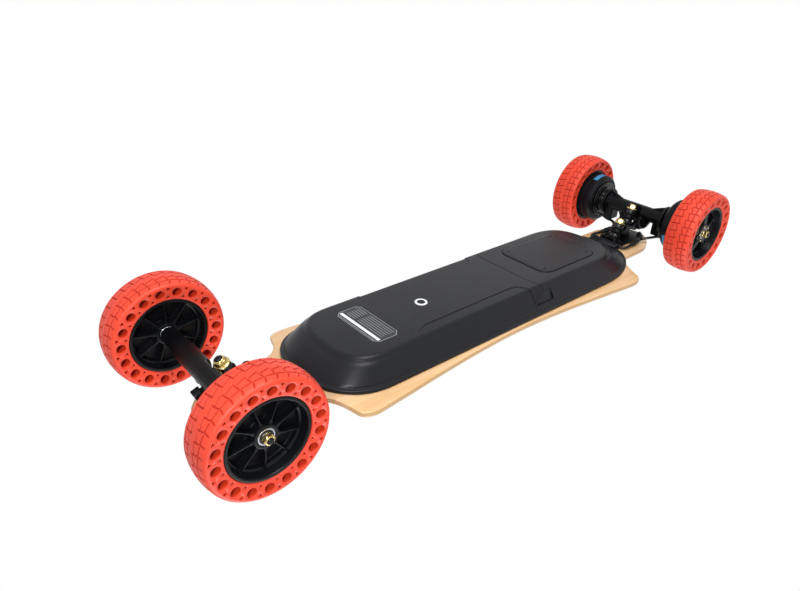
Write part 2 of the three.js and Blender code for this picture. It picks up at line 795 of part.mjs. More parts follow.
function swivel() {
  const eye = rod(eyeRadius, [0, 0, -eyeHeight / 2], [0, 0, eyeHeight / 2], roundMid);
  const bushingSide = bushingRadius + 4 * gap;
  const stub = rod(stubRadius, [bushingSide, 0, 0], [basePivotReach + gap, 0, 0]);
  const seatLow = -hangerDrop + seatTop;
  const seat = rod(
    seatBossRadius, [hangerShift, 0, seatLow], [hangerShift, 0, seatLow + seatBossHeight], roundMid,
  );
  const cupStart = hangerShift + hangerPivotReach - cupDepth;
  const cupEnd = cupStart + cupDepth + cupFloor + cupLip;
  const cup = rod(cupRadius, [cupStart, 0, -hangerDrop], [cupEnd, 0, -hangerDrop]);
  const underArm = -hangerDrop + cupRadius - gap;
  const overArm = -cupRadius - stubRadius / 2;
  const webTop = stubRadius - webStep;
  const webEnd = basePivotReach - cupFloor - webLead;
  const web = sidePlate([
    [cupRadius, webTop], [webEnd, webTop], [webEnd, overArm], [cupStart - cupRadius, overArm - webStep],
    [cupEnd - cupLip, underArm + cupFloor], [cupEnd - cupLip, underArm],
    [hangerShift + seatBossRadius + cupFloor, underArm], [hangerShift + seatBossRadius, seatLow],
    [bushingSide, seatLow], [bushingSide, -eyeHeight / 2], [cupRadius, -eyeHeight / 2],
  ], webHalfThickness);
  const eyeHole = rod(eyeHoleRadius, [0, 0, -eyeHeight], [0, 0, eyeHeight], roundMid);
  const pinHole = rod(
    kingpinRadius + gap, [hangerShift, 0, seatLow - overrun], [hangerShift, 0, seatLow + hangerPinGrip],
  );
  const stubHole = rod(
    stubRadius + stubRoom, [cupStart - overrun, 0, -hangerDrop],
    [hangerShift + hangerPivotReach + cupDepth + 2 * gap, 0, -hangerDrop],
  );
  return join(eye, stub, seat, cup, web).subtract(eyeHole).subtract(pinHole).subtract(stubHole);
}

function hanger(rear) {
  const shoulder = rear ? rearBarShoulder : frontShoulderShare * frontBarEnd;
  const end = rear ? rearBarEnd : frontBarEnd;
  const shoulderRadius = rear ? barEndRadius : barEndRadius + frontBarStep;
  const bar = turned([
    [0, -end], [barEndRadius, -end], [shoulderRadius, -shoulder], [barRadius, -shoulder],
    [barRadius, shoulder], [shoulderRadius, shoulder], [barEndRadius, end], [0, end],
  ], roundMid, at(axleAlong, 0, axleAcross));
  const [eyeLow, eyeTop] = [-hangerDrop - eyeHeight / 2, -hangerDrop + eyeHeight / 2];
  const eye = rod(eyeRadius, [hangerShift, 0, eyeLow], [hangerShift, 0, eyeTop], roundMid);
  const stub = rod(
    stubRadius,
    [hangerShift + bushingRadius + 4 * gap, 0, -hangerDrop],
    [hangerShift + hangerPivotReach + cupDepth, 0, -hangerDrop],
  );
  const bridge = block(
    [hangerShift + eyeHoleRadius, bridgeInset - eyeRadius, eyeLow],
    [axleAlong, eyeRadius - bridgeInset, eyeTop],
  );
  const rib = block(
    [axleAlong - overrun, -webHalfThickness, axleAcross],
    [axleAlong + barRadius / 2, webHalfThickness, eyeTop],
  );
  const eyeHole = rod(
    eyeHoleRadius,
    [hangerShift, 0, -hangerDrop - eyeHeight], [hangerShift, 0, -hangerDrop + eyeHeight], roundEye,
  );
  const room = washerRadius + nutRoom;
  const nutPocket = slab(
    roundedRectangle(2 * room, 2 * (room + nutSwing), room, hangerShift),
    axleAcross - 2 * barRadius, eyeLow - gap,
  );
  const bore = rod(
    boreFor(axleRadius), [axleAlong, -end - overrun, axleAcross], [axleAlong, end + overrun, axleAcross],
  );
  const casting = join(bar, bridge, rib).subtract(nutPocket).add(eye).add(stub);
  const blocks = [-1, 1].map((side) => block(
    [-blockHalfLength, side > 0 ? blockInner : -blockOuter, 0],
    [blockHalfLength, side > 0 ? blockOuter : -blockInner, blockTop],
  ).transform(steerFrame.clone().invert().elements));
  return (rear ? join(casting, ...blocks) : casting).subtract(eyeHole).subtract(bore);
}

function axleNut() {
  const flange = rod(axleNutFlangeRadius, [0, 0, 0], [0, 0, axleNutFlange]);
  const hex = slab(hexagon(axleNutFlats), axleNutFlange / 2, axleNutFlange + axleNutHeight);
  const hole = rod(axleRadius + gap, [0, 0, -overrun], [0, 0, 2 * axleNutHeight]);
  return join(flange, hex).subtract(hole);
}

function makeTruck(end, heading) {
  const truck = new THREE.Group();
  truck.position.set((heading * wheelbase) / 2, 0, axleHeight);
  truck.rotation.z = heading > 0 ? 0 : Math.PI;
  board.add(truck);
  const steer = new THREE.Group();
  steer.position.set(-seatInboard, 0, seatRise);
  steer.rotation.y = -kingpinLean;
  truck.add(steer);

  add(truck, `${end}_base_plate`, basePlate(), 'alloyBlack');
  addStack(steer, {
    pin: `${end}_base_kingpin`, nut: `${end}_base_kingpin_nut`,
    inner: `${end}_base_bushing_upper`, outer: `${end}_base_bushing_lower`,
  }, 0, 0, kingpinGrip);
  add(steer, `${end}_swivel`, swivel(), 'alloyBlack');
  addStack(steer, {
    pin: `${end}_hanger_kingpin`, nut: `${end}_hanger_kingpin_nut`,
    inner: `${end}_hanger_bushing_upper`, outer: `${end}_hanger_bushing_lower`,
  }, hangerShift, hangerDrop, hangerPinGrip);
  add(steer, `${end}_hanger`, hanger(heading < 0), 'alloyBlack');

  const track = heading > 0 ? frontTrack : rearTrack;
  const nutAt = track / 2 + bearingAt + bearingWidth / 2 + gap;
  const axleEnd = nutAt + axleNutFlange + axleNutHeight + axleTip;
  add(truck, `${end}_axle`, rod(axleRadius, [0, -axleEnd, 0], [0, axleEnd, 0]), 'steel');
}

// Wheels, turned about their own Y axis with +Y outboard

function tyre() {
  const half = [
    [tyreBoreRadius, tyreSideAtBore],
    [tyreHoleCircle + tyreHoleRadius + tyreHoleRim, tyreHalfWidth],
    [tyreRadius - tyreShoulderDrop, tyreShoulderShare * tyreHalfWidth],
    [tyreRadius, tyreCrownShare * tyreHalfWidth],
  ];
  const body = turned([...half.map(([r, y]) => [r, -y]), ...[...half].reverse()], roundFine);
  const reach = tyreHalfWidth + overrun;
  const hole = rod(tyreHoleRadius, [0, -reach, 0], [0, reach, 0], tyreHoleFaces);
  const holes = [...Array(tyreHoleCount).keys()].map((i) => {
    const angle = ((i + tyreHoleStartShare) / tyreHoleCount) * 2 * Math.PI;
    return hole.transform(about('Y', angle).multiply(at(0, 0, tyreHoleCircle)).elements);
  });
  return body.subtract(join(...holes));
}

function bearingSeat(from, to) {
  return rod(bearingRadius + gap, [0, from, 0], [0, to, 0]);
}

function rimBarrelRing(bore, from, to, radius = tyreBoreRadius - gap, segments = roundFine) {
  return turned([[radius, from], [radius, to], [bore, to], [bore, from]], segments);
}

function radials(count, inner, outer, low, high, thickness) {
  return [...Array(count).keys()].map((i) => solid(
    new THREE.BoxGeometry(outer - inner + 2 * overrun, high - low, thickness),
    about('Y', (i / count) * 2 * Math.PI).multiply(at((outer + inner) / 2, (high + low) / 2, 0)),
  ));
}

function frontRim() {
  const barrel = rimBarrelRing(barrelRadius, -rimHalfWidth, rimHalfWidth);
  const webRadius = barrelRadius + rimBarrel / 2;
  const web = rimBarrelRing(hubBoreRadius, -webThickness / 2, webThickness / 2, webRadius);
  const hub = rimBarrelRing(hubBoreRadius, -hubHalfLength, hubHalfLength, hubRadius, roundMid);
  const ribs = radials(ribCount, hubRadius, barrelRadius, -ribHalfHeight, ribHalfHeight, ribThickness);
  const bore = rod(hubBoreRadius, [0, -hubHalfLength, 0], [0, hubHalfLength, 0]);
  const seats = [-1, 1].map((side) => bearingSeat(
    side * (bearingAt - bearingWidth / 2 - gap), side * (hubHalfLength + overrun),
  ));
  return [...seats, bore].reduce((rest, seat) => rest.subtract(seat), join(barrel, web, hub, ...ribs));
}

function rearRim() {
  const motorFace = rotorOutboard + gap - rearTrack / 2;
  const barrel = rimBarrelRing(barrelRadius, -rimHalfWidth, rimHalfWidth);
  const webRadius = barrelRadius + rimBarrel / 2;
  const web = rimBarrelRing(hubBoreRadius, spokeFloor, spokeFloor + webThickness, webRadius);
  const hub = rimBarrelRing(hubBoreRadius, motorFace, hubHalfLength, rearHubRadius, roundMid);
  const spokes = radials(spokeCount, rearHubRadius, barrelRadius, spokeFloor, spokeFace, spokeWidth);
  const bore = rod(hubBoreRadius, [0, motorFace - overrun, 0], [0, hubHalfLength, 0]);
  const seat = bearingSeat(bearingAt - bearingWidth / 2 - gap, hubHalfLength + overrun);
  return join(barrel, web, hub, ...spokes).subtract(bore).subtract(seat);
}

function bearing() {
  const [low, high] = [-bearingWidth / 2, bearingWidth / 2];
  return turned([
    [axleRadius + gap, low], [bearingRadius, low], [bearingRadius, high], [axleRadius + gap, high],
  ], roundSmall);
}

function rotor() {
  const [low, high] = [rotorInboard, rotorOutboard];
  return turned([
    [rotorRingRadius, low], [rotorRadius - overrun, low], [rotorRadius, low + overrun],
    [rotorRadius, high], [rotorBoreRadius, high],
    [rotorBoreRadius, high - rotorWall], [rotorRadius - rotorWall, high - rotorWall],
    [rotorRadius - rotorWall, low + rotorWall], [rotorRingRadius, low + rotorWall],
  ], roundRotor);
}

function stator() {
  const bore = boreFor(barEndRadius);
  const neck = rotorRingRadius - overrun;
  const coreLow = rotorInboard + rotorWall + overrun;
  return turned([
    [bore, statorCollar], [statorCollarRadius, statorCollar], [statorCollarRadius, statorInboard],
    [statorRadius, statorInboard], [neck, rotorInboard - gap], [neck, coreLow],
    [coreRadius, coreLow], [coreRadius, coreOutboard], [bore, coreOutboard],
  ], roundStator);
}

function makeWheel(end, side, heading, left) {
  const name = `${end}_${side}`;
  const track = heading > 0 ? frontTrack : rearTrack;
  const wheel = new THREE.Group();
  wheel.position.set((heading * wheelbase) / 2, (left * track) / 2, axleHeight);
  wheel.rotation.z = left > 0 ? 0 : Math.PI;
  board.add(wheel);
  add(wheel, `${name}_tyre`, tyre(), 'tyre');
  add(wheel, `${name}_rim`, heading > 0 ? frontRim() : rearRim(), 'nylon');
  add(wheel, `${name}_bearing_outer`, bearing(), 'steel', [0, bearingAt, 0]);
  const nutAt = bearingAt + bearingWidth / 2 + gap;
  add(wheel, `${name}_axle_nut`, axleNut(), 'zinc', [0, nutAt, 0], [-Math.PI / 2, 0, 0]);
  if (heading > 0) {
    add(wheel, `${name}_bearing_inner`, bearing(), 'steel', [0, -bearingAt, 0]);
  } else {
    add(wheel, `${name}_motor_rotor`, rotor(), 'alloyBlack', [0, -track / 2, 0]);
    add(wheel, `${name}_motor_stator`, stator(), 'copper', [0, -track / 2, 0]);
  }
}

// Motor cable: one tube along the chosen route, with the connector on it

function makeCable(side) {
  const points = cableRoutes[side].map(([x, y, rise]) => new THREE.Vector3(x, y, axleHeight + rise));
  const curve = new THREE.CatmullRomCurve3(points);
  const section = plan([...Array(plugFaces).keys()].map((i) => {
    const angle = (i / plugFaces) * 2 * Math.PI;
    return [cableRadius * Math.cos(angle), cableRadius * Math.sin(angle)];
  }));
  const tube = solid(new THREE.ExtrudeGeometry(
    section, { steps: cableSteps, bevelEnabled: false, extrudePath: curve },
  ));
  const middle = curve.getPointAt(plugPlaceShare);
  const along = curve.getTangentAt(plugPlaceShare).multiplyScalar(plugLength / 2);
  const plug = rod(
    plugRadius, middle.clone().sub(along).toArray(), middle.clone().add(along).toArray(), plugFaces,
  );
  add(board, `motor_cable_${side}`, join(tube, plug), 'seal');
}

makeDeck();
makeCase();
makeButton();
makeChargePort();
makeInsides();
makeCableCover();
for (const [end, heading] of [['front', 1], ['rear', -1]]) {
  makeTruck(end, heading);
  for (const [side, left] of [['left', 1], ['right', -1]]) makeWheel(end, side, heading, left);
}
for (const side of Object.keys(cableRoutes)) makeCable(side);

export default board;
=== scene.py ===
import math

import bmesh
import bpy
from bpy.props import FloatProperty, FloatVectorProperty, IntProperty, PointerProperty
from mathutils import Matrix, Vector
from mathutils.geometry import area_tri, delaunay_2d_cdt


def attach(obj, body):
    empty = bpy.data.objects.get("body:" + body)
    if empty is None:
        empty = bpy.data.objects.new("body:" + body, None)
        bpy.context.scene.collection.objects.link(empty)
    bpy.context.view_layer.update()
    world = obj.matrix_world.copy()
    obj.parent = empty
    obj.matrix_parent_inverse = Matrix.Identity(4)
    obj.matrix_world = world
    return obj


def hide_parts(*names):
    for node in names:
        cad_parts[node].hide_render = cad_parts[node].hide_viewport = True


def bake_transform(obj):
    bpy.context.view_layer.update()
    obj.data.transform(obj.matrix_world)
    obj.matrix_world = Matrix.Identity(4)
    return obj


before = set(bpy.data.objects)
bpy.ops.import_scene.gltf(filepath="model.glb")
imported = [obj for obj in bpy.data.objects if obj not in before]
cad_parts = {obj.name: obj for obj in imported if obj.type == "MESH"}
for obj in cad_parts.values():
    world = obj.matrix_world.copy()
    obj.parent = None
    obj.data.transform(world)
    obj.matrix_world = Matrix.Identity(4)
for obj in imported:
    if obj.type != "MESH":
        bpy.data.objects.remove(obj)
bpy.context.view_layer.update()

bl_info = {
    "name": "Electric mountainboard",
    "version": (1, 0, 0),
    "blender": (4, 5, 0),
    "location": "3D View > Sidebar > Mountainboard",
    "description": "Builds the looks of an electric mountainboard around its packed frame",
    "category": "Object",
}

MM = 0.001

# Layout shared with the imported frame, in millimetres
WHEELBASE = 980
AXLE_HEIGHT = 82.5
TRACK = {"front": 266, "rear": 272}
HEADING = {"front": 1, "rear": -1}
SIDES = {"left": 1, "right": -1}
DECK_UNDER = 137
DECK_THICKNESS = 9
TAPE_GAP = 0.1
TAPE_THICKNESS = 1.2
PLATE_GAP = 0.3
PLATE_THICKNESS = 5
CONCAVE_FLAT = 45
CONCAVE_EDGE = 126
CONCAVE_RISE = 9.5
FACE = 100.5
WALL_FOOT = 130.7
FLANGE_TOP = 135.2
LEAN = math.radians(22)
SEAT = (-63.5, 0, 31.5)
HANGER_SHIFT = 25
HANGER_DROP = 35.5
SEAT_TOP = 16
NUT_TOP = -16
NUT_LOW = -26


# Colours

def tone(code):
    """Turn a screen colour into the linear one that shaders use."""
    shares = [((code >> shift) & 255) / 255 for shift in (16, 8, 0)]
    return tuple(c / 12.92 if c < 0.04045 else ((c + 0.055) / 1.055) ** 2.4 for c in shares)


def solid_tone(colour):
    """Add full opacity to a colour."""
    return (*colour, 1.0)


def swatch(label, text, code):
    return FloatVectorProperty(
        name=label, description=text, subtype="COLOR", size=3, min=0, max=1, default=tone(code),
    )


def length(label, text, default, low, high):
    return FloatProperty(
        name=label, description=text, default=default, min=low, max=high, unit="LENGTH", precision=4,
    )


def power(label, text, default):
    return FloatProperty(name=label, description=text, default=default, min=0, max=400, unit="POWER")


class FinishColours(bpy.types.PropertyGroup):
    """Colours of the board's finishes."""

    tyre: swatch("Tyre", "Rubber of the four airless tyres", 0xEB4830)
    # Painted shade: a darker copy of the tyre rubber for the faces deep in the tread grooves
    tyre_groove_shade: swatch("Tyre grooves", "Rubber deep in the tread grooves", 0xC0301C)
    # Painted shade inside the tyre holes, with a painted glow of light shining through the rubber
    tyre_hole_shade_and_glow: swatch("Tyre holes", "Rubber inside the holes of the tyres", 0xCC3818)
    maple: swatch("Maple", "Face veneer of the deck", 0xEBC398)
    maple_dark: swatch("Maple grain", "Darker grain and plies of the deck", 0xD2A66B)
    casing: swatch("Casing", "Moulded case under the deck", 0x17181C)
    metal_black: swatch("Black castings", "Painted truck castings", 0x0A0B0D)
    zinc: swatch("Yellow zinc", "Plated nuts and washers", 0xD6C48E)
    patch: swatch("Motor patch", "Plain patch on the motor drums", 0x3B8FC0)


class TyreSizes(bpy.types.PropertyGroup):
    """Sizes of the airless tyres."""

    holes: IntProperty(
        name="Holes", description="Round holes through the side of a tyre", default=18, min=6, max=36,
    )
    groove_depth: length("Groove depth", "Depth of the tread grooves", 0.0015, 0, 0.003)
    groove_width: length("Groove width", "Width of the tread grooves", 0.0022, 0.0004, 0.003)


class BoardSizes(bpy.types.PropertyGroup):
    """Sizes that only the looks of the board use."""

    ply_count: IntProperty(
        name="Plies", description="Veneers glued up in the deck", default=7, min=3, max=11,
    )
    deck_edge: length("Deck edge", "Radius routed on the edge of the deck", 0.0026, 0, 0.004)
    casting_voxel: length(
        "Casting detail", "Grid on which the castings get their rounded edges", 0.0009, 0.0005, 0.003,
    )
    screw_head: length("Screw head", "Diameter of the small screws in the case", 0.0044, 0.003, 0.01)


class StageSettings(bpy.types.PropertyGroup):
    """Light level of the stage."""

    ambient: FloatProperty(
        name="Ambient", description="Strength of the light from all round", default=0.34, min=0, max=2,
    )
    key_power: power("Main lamp", "Power of the soft lamp under the board", 31)
    fill_power: power("Top lamp", "Power of the soft lamp over the board", 26)
    front_power: power("Front lamp", "Power of the small lamp that gives the highlights", 22)


# Shaders

class Wire:
    """A shader value that takes part in plain arithmetic."""

    def __init__(self, owner, socket):
        self.owner = owner
        self.socket = socket

    def math(self, operation, *values):
        return self.owner.node("ShaderNodeMath", {"operation": operation}, dict(enumerate(values)))

    def __add__(self, other):
        return self.math("ADD", self, other)

    def __rsub__(self, other):
        return self.math("SUBTRACT", other, self)

    def __mul__(self, other):
        return self.math("MULTIPLY", self, other)

    __radd__ = __add__
    __rmul__ = __mul__


class Nodes:
    """A node tree in which one method makes every node."""

    def __init__(self, tree):
        self.tree = tree

    def node(self, kind, settings=None, inputs=None, output=0):
        """Add one node, its settings first and then its inputs, and return one output."""
        made = self.tree.nodes.new(kind)
        for name, value in (settings or {}).items():
            if name == "stops":
                stops = made.color_ramp.elements
                for element, (place, colour) in zip(stops, (value[0], value[-1])):
                    element.position, element.color = place, colour
                for place, colour in value[1:-1]:
                    stops.new(place).color = colour
            else:
                setattr(made, name, value)
        for name, value in (inputs or {}).items():
            if isinstance(value, Wire):
                self.tree.links.new(value.socket, made.inputs[name])
            else:
                made.inputs[name].default_value = value
        return Wire(self, made.outputs[output])

    def lead(self, wire, target, socket):
        """Link a value to an input of a node that is there already."""
        self.tree.links.new(wire.socket, target.inputs[socket])


class Finish(Nodes):
    """One procedural surface finish."""

    def __init__(self, name, slot, **constants):
        self.name = name
        self.slot = slot
        self.material = bpy.data.materials.new(name)
        self.material.use_nodes = True
        super().__init__(self.material.node_tree)
        self.shader = self.tree.nodes["Principled BSDF"]
        for socket, value in constants.items():
            label = socket.replace("_", " ").title().replace("Ior", "IOR")
            self.shader.inputs[label].default_value = value
        self.material.diffuse_color = self.shader.inputs["Base Color"].default_value

    def feed(self, socket, wire):
        self.lead(wire, self.shader, socket)

    def place(self, stretch=(1, 1, 1)):
        """Object coordinates in metres, stretched along the axes."""
        bare = self.node("ShaderNodeTexCoord", output="Object")
        return self.node("ShaderNodeVectorMath", {"operation": "MULTIPLY"}, {0: bare, 1: stretch})

    def noise(self, scale, detail, stretch=(1, 1, 1), roughness=0.5, distortion=0.0):
        return self.node("ShaderNodeTexNoise", {}, {
            "Vector": self.place(stretch), "Scale": scale, "Detail": detail, "Roughness": roughness,
            "Distortion": distortion,
        })

    def cells(self, scale):
        return self.node("ShaderNodeTexVoronoi", {}, {"Vector": self.place(), "Scale": scale})

    def ramp(self, value, *stops):
        greys = [(place, (level, level, level, 1)) for place, level in stops]
        return self.node("ShaderNodeValToRGB", {"stops": greys}, {0: value})

    def mix(self, factor, first, second):
        return self.node("ShaderNodeMix", {"data_type": "RGBA"}, {0: factor, 6: first, 7: second}, output=2)

    def vary(self, wire, first, second):
        """Mix two colours over the surface into the base colour."""
        self.feed("Base Color", self.mix(wire, solid_tone(first), solid_tone(second)))

    def bump(self, height, distance, strength, edge=0.0):
        """Raise the surface by a height, over edges rounded to a radius."""
        inputs = {"Height": height, "Distance": distance, "Strength": strength}
        if edge:
            inputs["Normal"] = self.node("ShaderNodeBevel", {"samples": 4}, {"Radius": edge})
        self.feed("Normal", self.node("ShaderNodeBump", {}, inputs))


def shade(colour, share):
    """Darken or lighten a linear colour."""
    return tuple(min(1.0, c * share) for c in colour)


def rubber(name, colour, slot, rough):
    """Matt rubber with a fine grain and slightly uneven colour."""
    finish = Finish(name, slot, base_color=solid_tone(colour), roughness=rough, specular_ior_level=0.35)
    cloud = finish.noise(18, 3)
    finish.vary(finish.ramp(cloud, (0.3, 0), (0.7, 1)), shade(colour, 0.9), shade(colour, 1.05))
    grain = finish.noise(1500, 2)
    finish.feed("Roughness", rough - 0.07 + 0.14 * finish.noise(240, 3))
    finish.bump(grain, 0.00012, 0.5)
    return finish


def moulded(name, colour, slot, rough, edge, grain_depth, shine=0.25):
    """Satin moulded plastic with a fine leather grain."""
    finish = Finish(name, slot, base_color=solid_tone(colour), roughness=rough, specular_ior_level=shine)
    cloud = finish.noise(9, 2)
    finish.vary(finish.ramp(cloud, (0.3, 0), (0.7, 1)), shade(colour, 0.92), shade(colour, 1.1))
    cells = finish.cells(950)
    grain = cells * 0.7 + finish.noise(1700, 2) * 0.5
    finish.feed("Roughness", rough - 0.05 + 0.1 * finish.noise(420, 2))
    finish.bump(grain, grain_depth, 0.6, edge)
    return finish


def painted(name, colour, slot, rough, coat=0.05, shine=0.09):
    """Stove enamel on a casting, with orange peel and rubbed spots."""
    finish = Finish(
        name, slot, base_color=solid_tone(colour), roughness=rough, coat_weight=coat, coat_roughness=0.12,
        specular_ior_level=shine,
    )
    cloud = finish.noise(40, 3)
    finish.vary(finish.ramp(cloud, (0.35, 0), (0.75, 1)), shade(colour, 0.85), shade(colour, 1.35))
    peel = finish.noise(420, 2) + 0.35 * finish.noise(1800, 2)
    finish.feed("Roughness", rough - 0.06 + 0.16 * finish.noise(90, 3))
    finish.bump(peel, 0.00016, 0.5)
    return finish


def plated(name, colour, slot, rough, tint=None):
    """Plated or bare metal with turning marks and a little discolouring."""
    finish = Finish(name, slot, base_color=solid_tone(colour), roughness=rough, metallic=1.0)
    tint = tint or shade(colour, 0.8)
    cloud = finish.ramp(finish.noise(130, 3, distortion=0.6), (0.35, 0), (0.68, 1))
    finish.vary(cloud, colour, tint)
    finish.feed("Roughness", rough - 0.06 + 0.18 * finish.noise(600, 3))
    finish.bump(finish.noise(900, 2, stretch=(1, 4, 1)), 0.00005, 0.5)
    return finish


def timber(name, light, dark, slot, along=1.0):
    """Clear-coated maple with long fine grain."""
    finish = Finish(
        name, slot, base_color=solid_tone(light), roughness=0.36, coat_weight=0.3, coat_roughness=0.16,
        specular_ior_level=0.45,
    )
    figure = finish.noise(10, 4, stretch=(0.35 * along, 3.2, 3.2), distortion=0.8)
    streak = finish.noise(60, 5, stretch=(0.12 * along, 4.5, 4.5), roughness=0.62)
    fleck = finish.noise(900, 2, stretch=(0.06, 1, 1))
    share = finish.ramp(figure * 0.5 + streak * 0.55, (0.40, 0), (0.62, 1))
    colour = finish.mix(share * 0.75, solid_tone(light), solid_tone(dark))
    flecked = finish.mix(finish.ramp(fleck, (0.62, 0), (0.75, 0.35)), colour, solid_tone(shade(dark, 0.72)))
    finish.feed("Base Color", flecked)
    finish.feed("Roughness", 0.32 + 0.12 * streak)
    finish.bump(streak + 0.5 * fleck, 0.00006, 0.4)
    return finish


def gritty(name, colour, slot):
    """Abrasive tape with hard grit, its sparkle painted as lighter grain tops with painted shade between
    them.
    """
    finish = Finish(name, slot, base_color=solid_tone(colour), roughness=0.95, specular_ior_level=0.4)
    grit_and_glints = finish.cells(1300)
    cloud = finish.noise(260, 3)
    # Painted highlight on the raised grain tops and painted shade between them
    finish.vary(finish.ramp(grit_and_glints, (0.15, 0), (0.6, 1)), shade(colour, 1.9), shade(colour, 0.6))
    finish.feed("Roughness", 0.75 + 0.25 * cloud)
    finish.bump(grit_and_glints * -1 + 0.6 * cloud, 0.0007, 0.9)
    return finish


FINISHES = {}


def make_finishes(colours):
    """Mix every finish of the board from the chosen colours."""
    made = [
        rubber("tyre_rubber", colours.tyre, "tyre", 0.46),
        # The groove finish paints shade into the tread grooves
        rubber("tyre_groove_rubber", colours.tyre_groove_shade, "tyre", 0.6),
        # The hole finish paints shade, and light shining through the rubber, onto the hole walls
        rubber("tyre_hole_rubber", colours.tyre_hole_shade_and_glow, "tyre", 0.55),
        timber("maple_face", colours.maple, colours.maple_dark, "maple"),
        timber("maple_cross_ply", *(shade(colours.maple_dark, k) for k in (0.82, 0.6)), "maple", 0.6),
        gritty("grip_grit", tone(0x1A1A1C), "grip"),
        moulded("case_grain", colours.casing, "casing", 0.34, 0.0011, 0.00009, 0.2),
        moulded("hatch_grain", shade(colours.casing, 1.12), "casing", 0.4, 0.0006, 0.00009, 0.2),
        moulded("rim_nylon", tone(0x0E0F12), "nylon", 0.3, 0.0004, 0.00002, 0.14),
        moulded("nylon_insert", tone(0x131417), "nylon", 0.35, 0.0, 0.00004, 0.16),
        rubber("seal_rubber", tone(0x101113), "seal", 0.6),
        rubber("cable_jacket", tone(0x141517), "seal", 0.42),
        rubber("urethane", tone(0x131416), "urethane", 0.3),
        painted("casting_enamel", colours.metal_black, "alloy_black", 0.3),
        painted("motor_enamel", tone(0x0C0D0F), "motor_black", 0.2, 0.2, 0.2),
        painted("motor_drum_satin", tone(0x0E0F12), "motor_black", 0.4),
        plated("zinc_yellow", colours.zinc, "zinc", 0.24, tone(0xBFA66A)),
        plated("bright_steel", tone(0xBFC2C6), "steel", 0.24),
        plated("dark_steel", tone(0x2B2D31), "steel", 0.34),
        moulded("ring_white", tone(0xEEF0F1), "ring", 0.3, 0.0002, 0.00003),
        moulded("label_face", tone(0x2E3034), "casing", 0.3, 0.0, 0.00003),
        moulded("label_line", tone(0x9A9DA1), "ring", 0.35, 0.0, 0.00003),
        moulded("label_rule", tone(0x85888D), "ring", 0.35, 0.0, 0.00003),
        moulded("patch_blue", colours.patch, "motor_black", 0.3, 0.0, 0.00003),
        moulded("cell_wrap", tone(0x2F5F9C), "cell_wrap", 0.3, 0.0004, 0.00004),
        plated("fin_alloy", tone(0x8E9196), "finned_alloy", 0.36),
    ]
    FINISHES.update({finish.name: finish for finish in made})


# Flat outlines in millimetres

def soften(points, steps=4, closed=True):
    """Round each corner that carries a radius as its third number."""
    rounded = []
    for i, point in enumerate(points):
        here = Vector(point[:2])
        if len(point) < 3 or (not closed and i in (0, len(points) - 1)):
            rounded.append(here)
            continue
        before = Vector(points[i - 1][:2]) - here
        after = Vector(points[(i + 1) % len(points)][:2]) - here
        reach = point[2] / max(0.05, math.tan(before.angle(after) / 2))
        reach = min(reach, 0.48 * before.length, 0.48 * after.length)
        start, end = here + before.normalized() * reach, here + after.normalized() * reach
        for step in range(steps + 1):
            t = step / steps
            rounded.append(start * (1 - t) ** 2 + here * (2 * t * (1 - t)) + end * t ** 2)
    return [tuple(p) for p in rounded]


def bezier(points, steps):
    """Sample a quadratic or cubic Bezier, leaving out its first point."""
    degree = len(points) - 1
    curve = []
    for step in range(1, steps + 1):
        t = step / steps
        spot = Vector((0, 0))
        for k, point in enumerate(points):
            spot += Vector(point) * math.comb(degree, k) * (1 - t) ** (degree - k) * t ** k
        curve.append(tuple(spot))
    return curve


def four_ways(quarter):
    """Mirror a quarter outline from (0, y) to (x, 0) over both axes."""
    nose = quarter + [(x, -y) for x, y in reversed(quarter[:-1])]
    return nose + [(-x, y) for x, y in reversed(nose[1:-1])]


def rounded_rectangle(length, width, corner, centre=(0, 0)):
    x, y = length / 2, width / 2
    corners = [(x, -y, corner), (x, y, corner), (-x, y, corner), (-x, -y, corner)]
    return [(px + centre[0], py + centre[1]) for px, py in soften(corners, 8)]


def circle(radius, count, centre=(0, 0), turn=0.0):
    angles = [turn + 2 * math.pi * k / count for k in range(count)]
    return [(centre[0] + radius * math.cos(a), centre[1] + radius * math.sin(a)) for a in angles]


def offset(outline, inset):
    """Move a dense closed outline inwards along its normals."""
    area = sum(a[0] * b[1] - b[0] * a[1] for a, b in zip(outline, outline[1:] + outline[:1]))
    sign = 1 if area > 0 else -1
    moved = []
    for i, here in enumerate(outline):
        before, after = outline[i - 1], outline[(i + 1) % len(outline)]
        along = Vector((after[0] - before[0], after[1] - before[1])).normalized()
        moved.append((here[0] - sign * inset * along.y, here[1] + sign * inset * along.x))
    return moved


def inside(point, loop):
    """Even-odd test of a point against a closed loop."""
    hit = False
    for (ax, ay), (bx, by) in zip(loop, loop[1:] + loop[:1]):
        if (ay > point[1]) != (by > point[1]):
            hit ^= point[0] < (bx - ax) * (point[1] - ay) / (by - ay) + ax
    return hit


def fill_flat(loops, extra=()):
    """Triangulate the area inside the first loop and outside the others."""
    points, edges = [], []
    for loop in loops:
        first = len(points)
        points += [Vector(p) for p in loop]
        edges += [(first + k, first + (k + 1) % len(loop)) for k in range(len(loop))]
    points += [Vector(p) for p in extra]
    spots, _, faces, *_ = delaunay_2d_cdt(points, edges, [], 0, 1e-5)
    kept = []
    for face in faces:
        middle = sum((spots[k] for k in face), Vector((0, 0))) / len(face)
        sliver = area_tri(*(spots[k] for k in face)) < 1e-3
        if not sliver and sum(inside(middle, loop) for loop in loops) == 1:
            kept.append(face)
    return [tuple(p) for p in spots], kept


# Solid forms in millimetres

def tidy(form, distance=0.0005):
    """Weld points that meet and turn all faces outwards."""
    bmesh.ops.remove_doubles(form, verts=form.verts, dist=distance)
    bmesh.ops.recalc_face_normals(form, faces=form.faces)
    return form


def skin(form, rings, around=True):
    """Join rings of vertices, each to the next, and return the new faces."""
    faces = []
    for first, second in zip(rings, rings[1:]):
        for i in range(len(first) if around else len(first) - 1):
            j = (i + 1) % len(first)
            faces.append(form.faces.new((first[i], first[j], second[j], second[i])))
    return faces


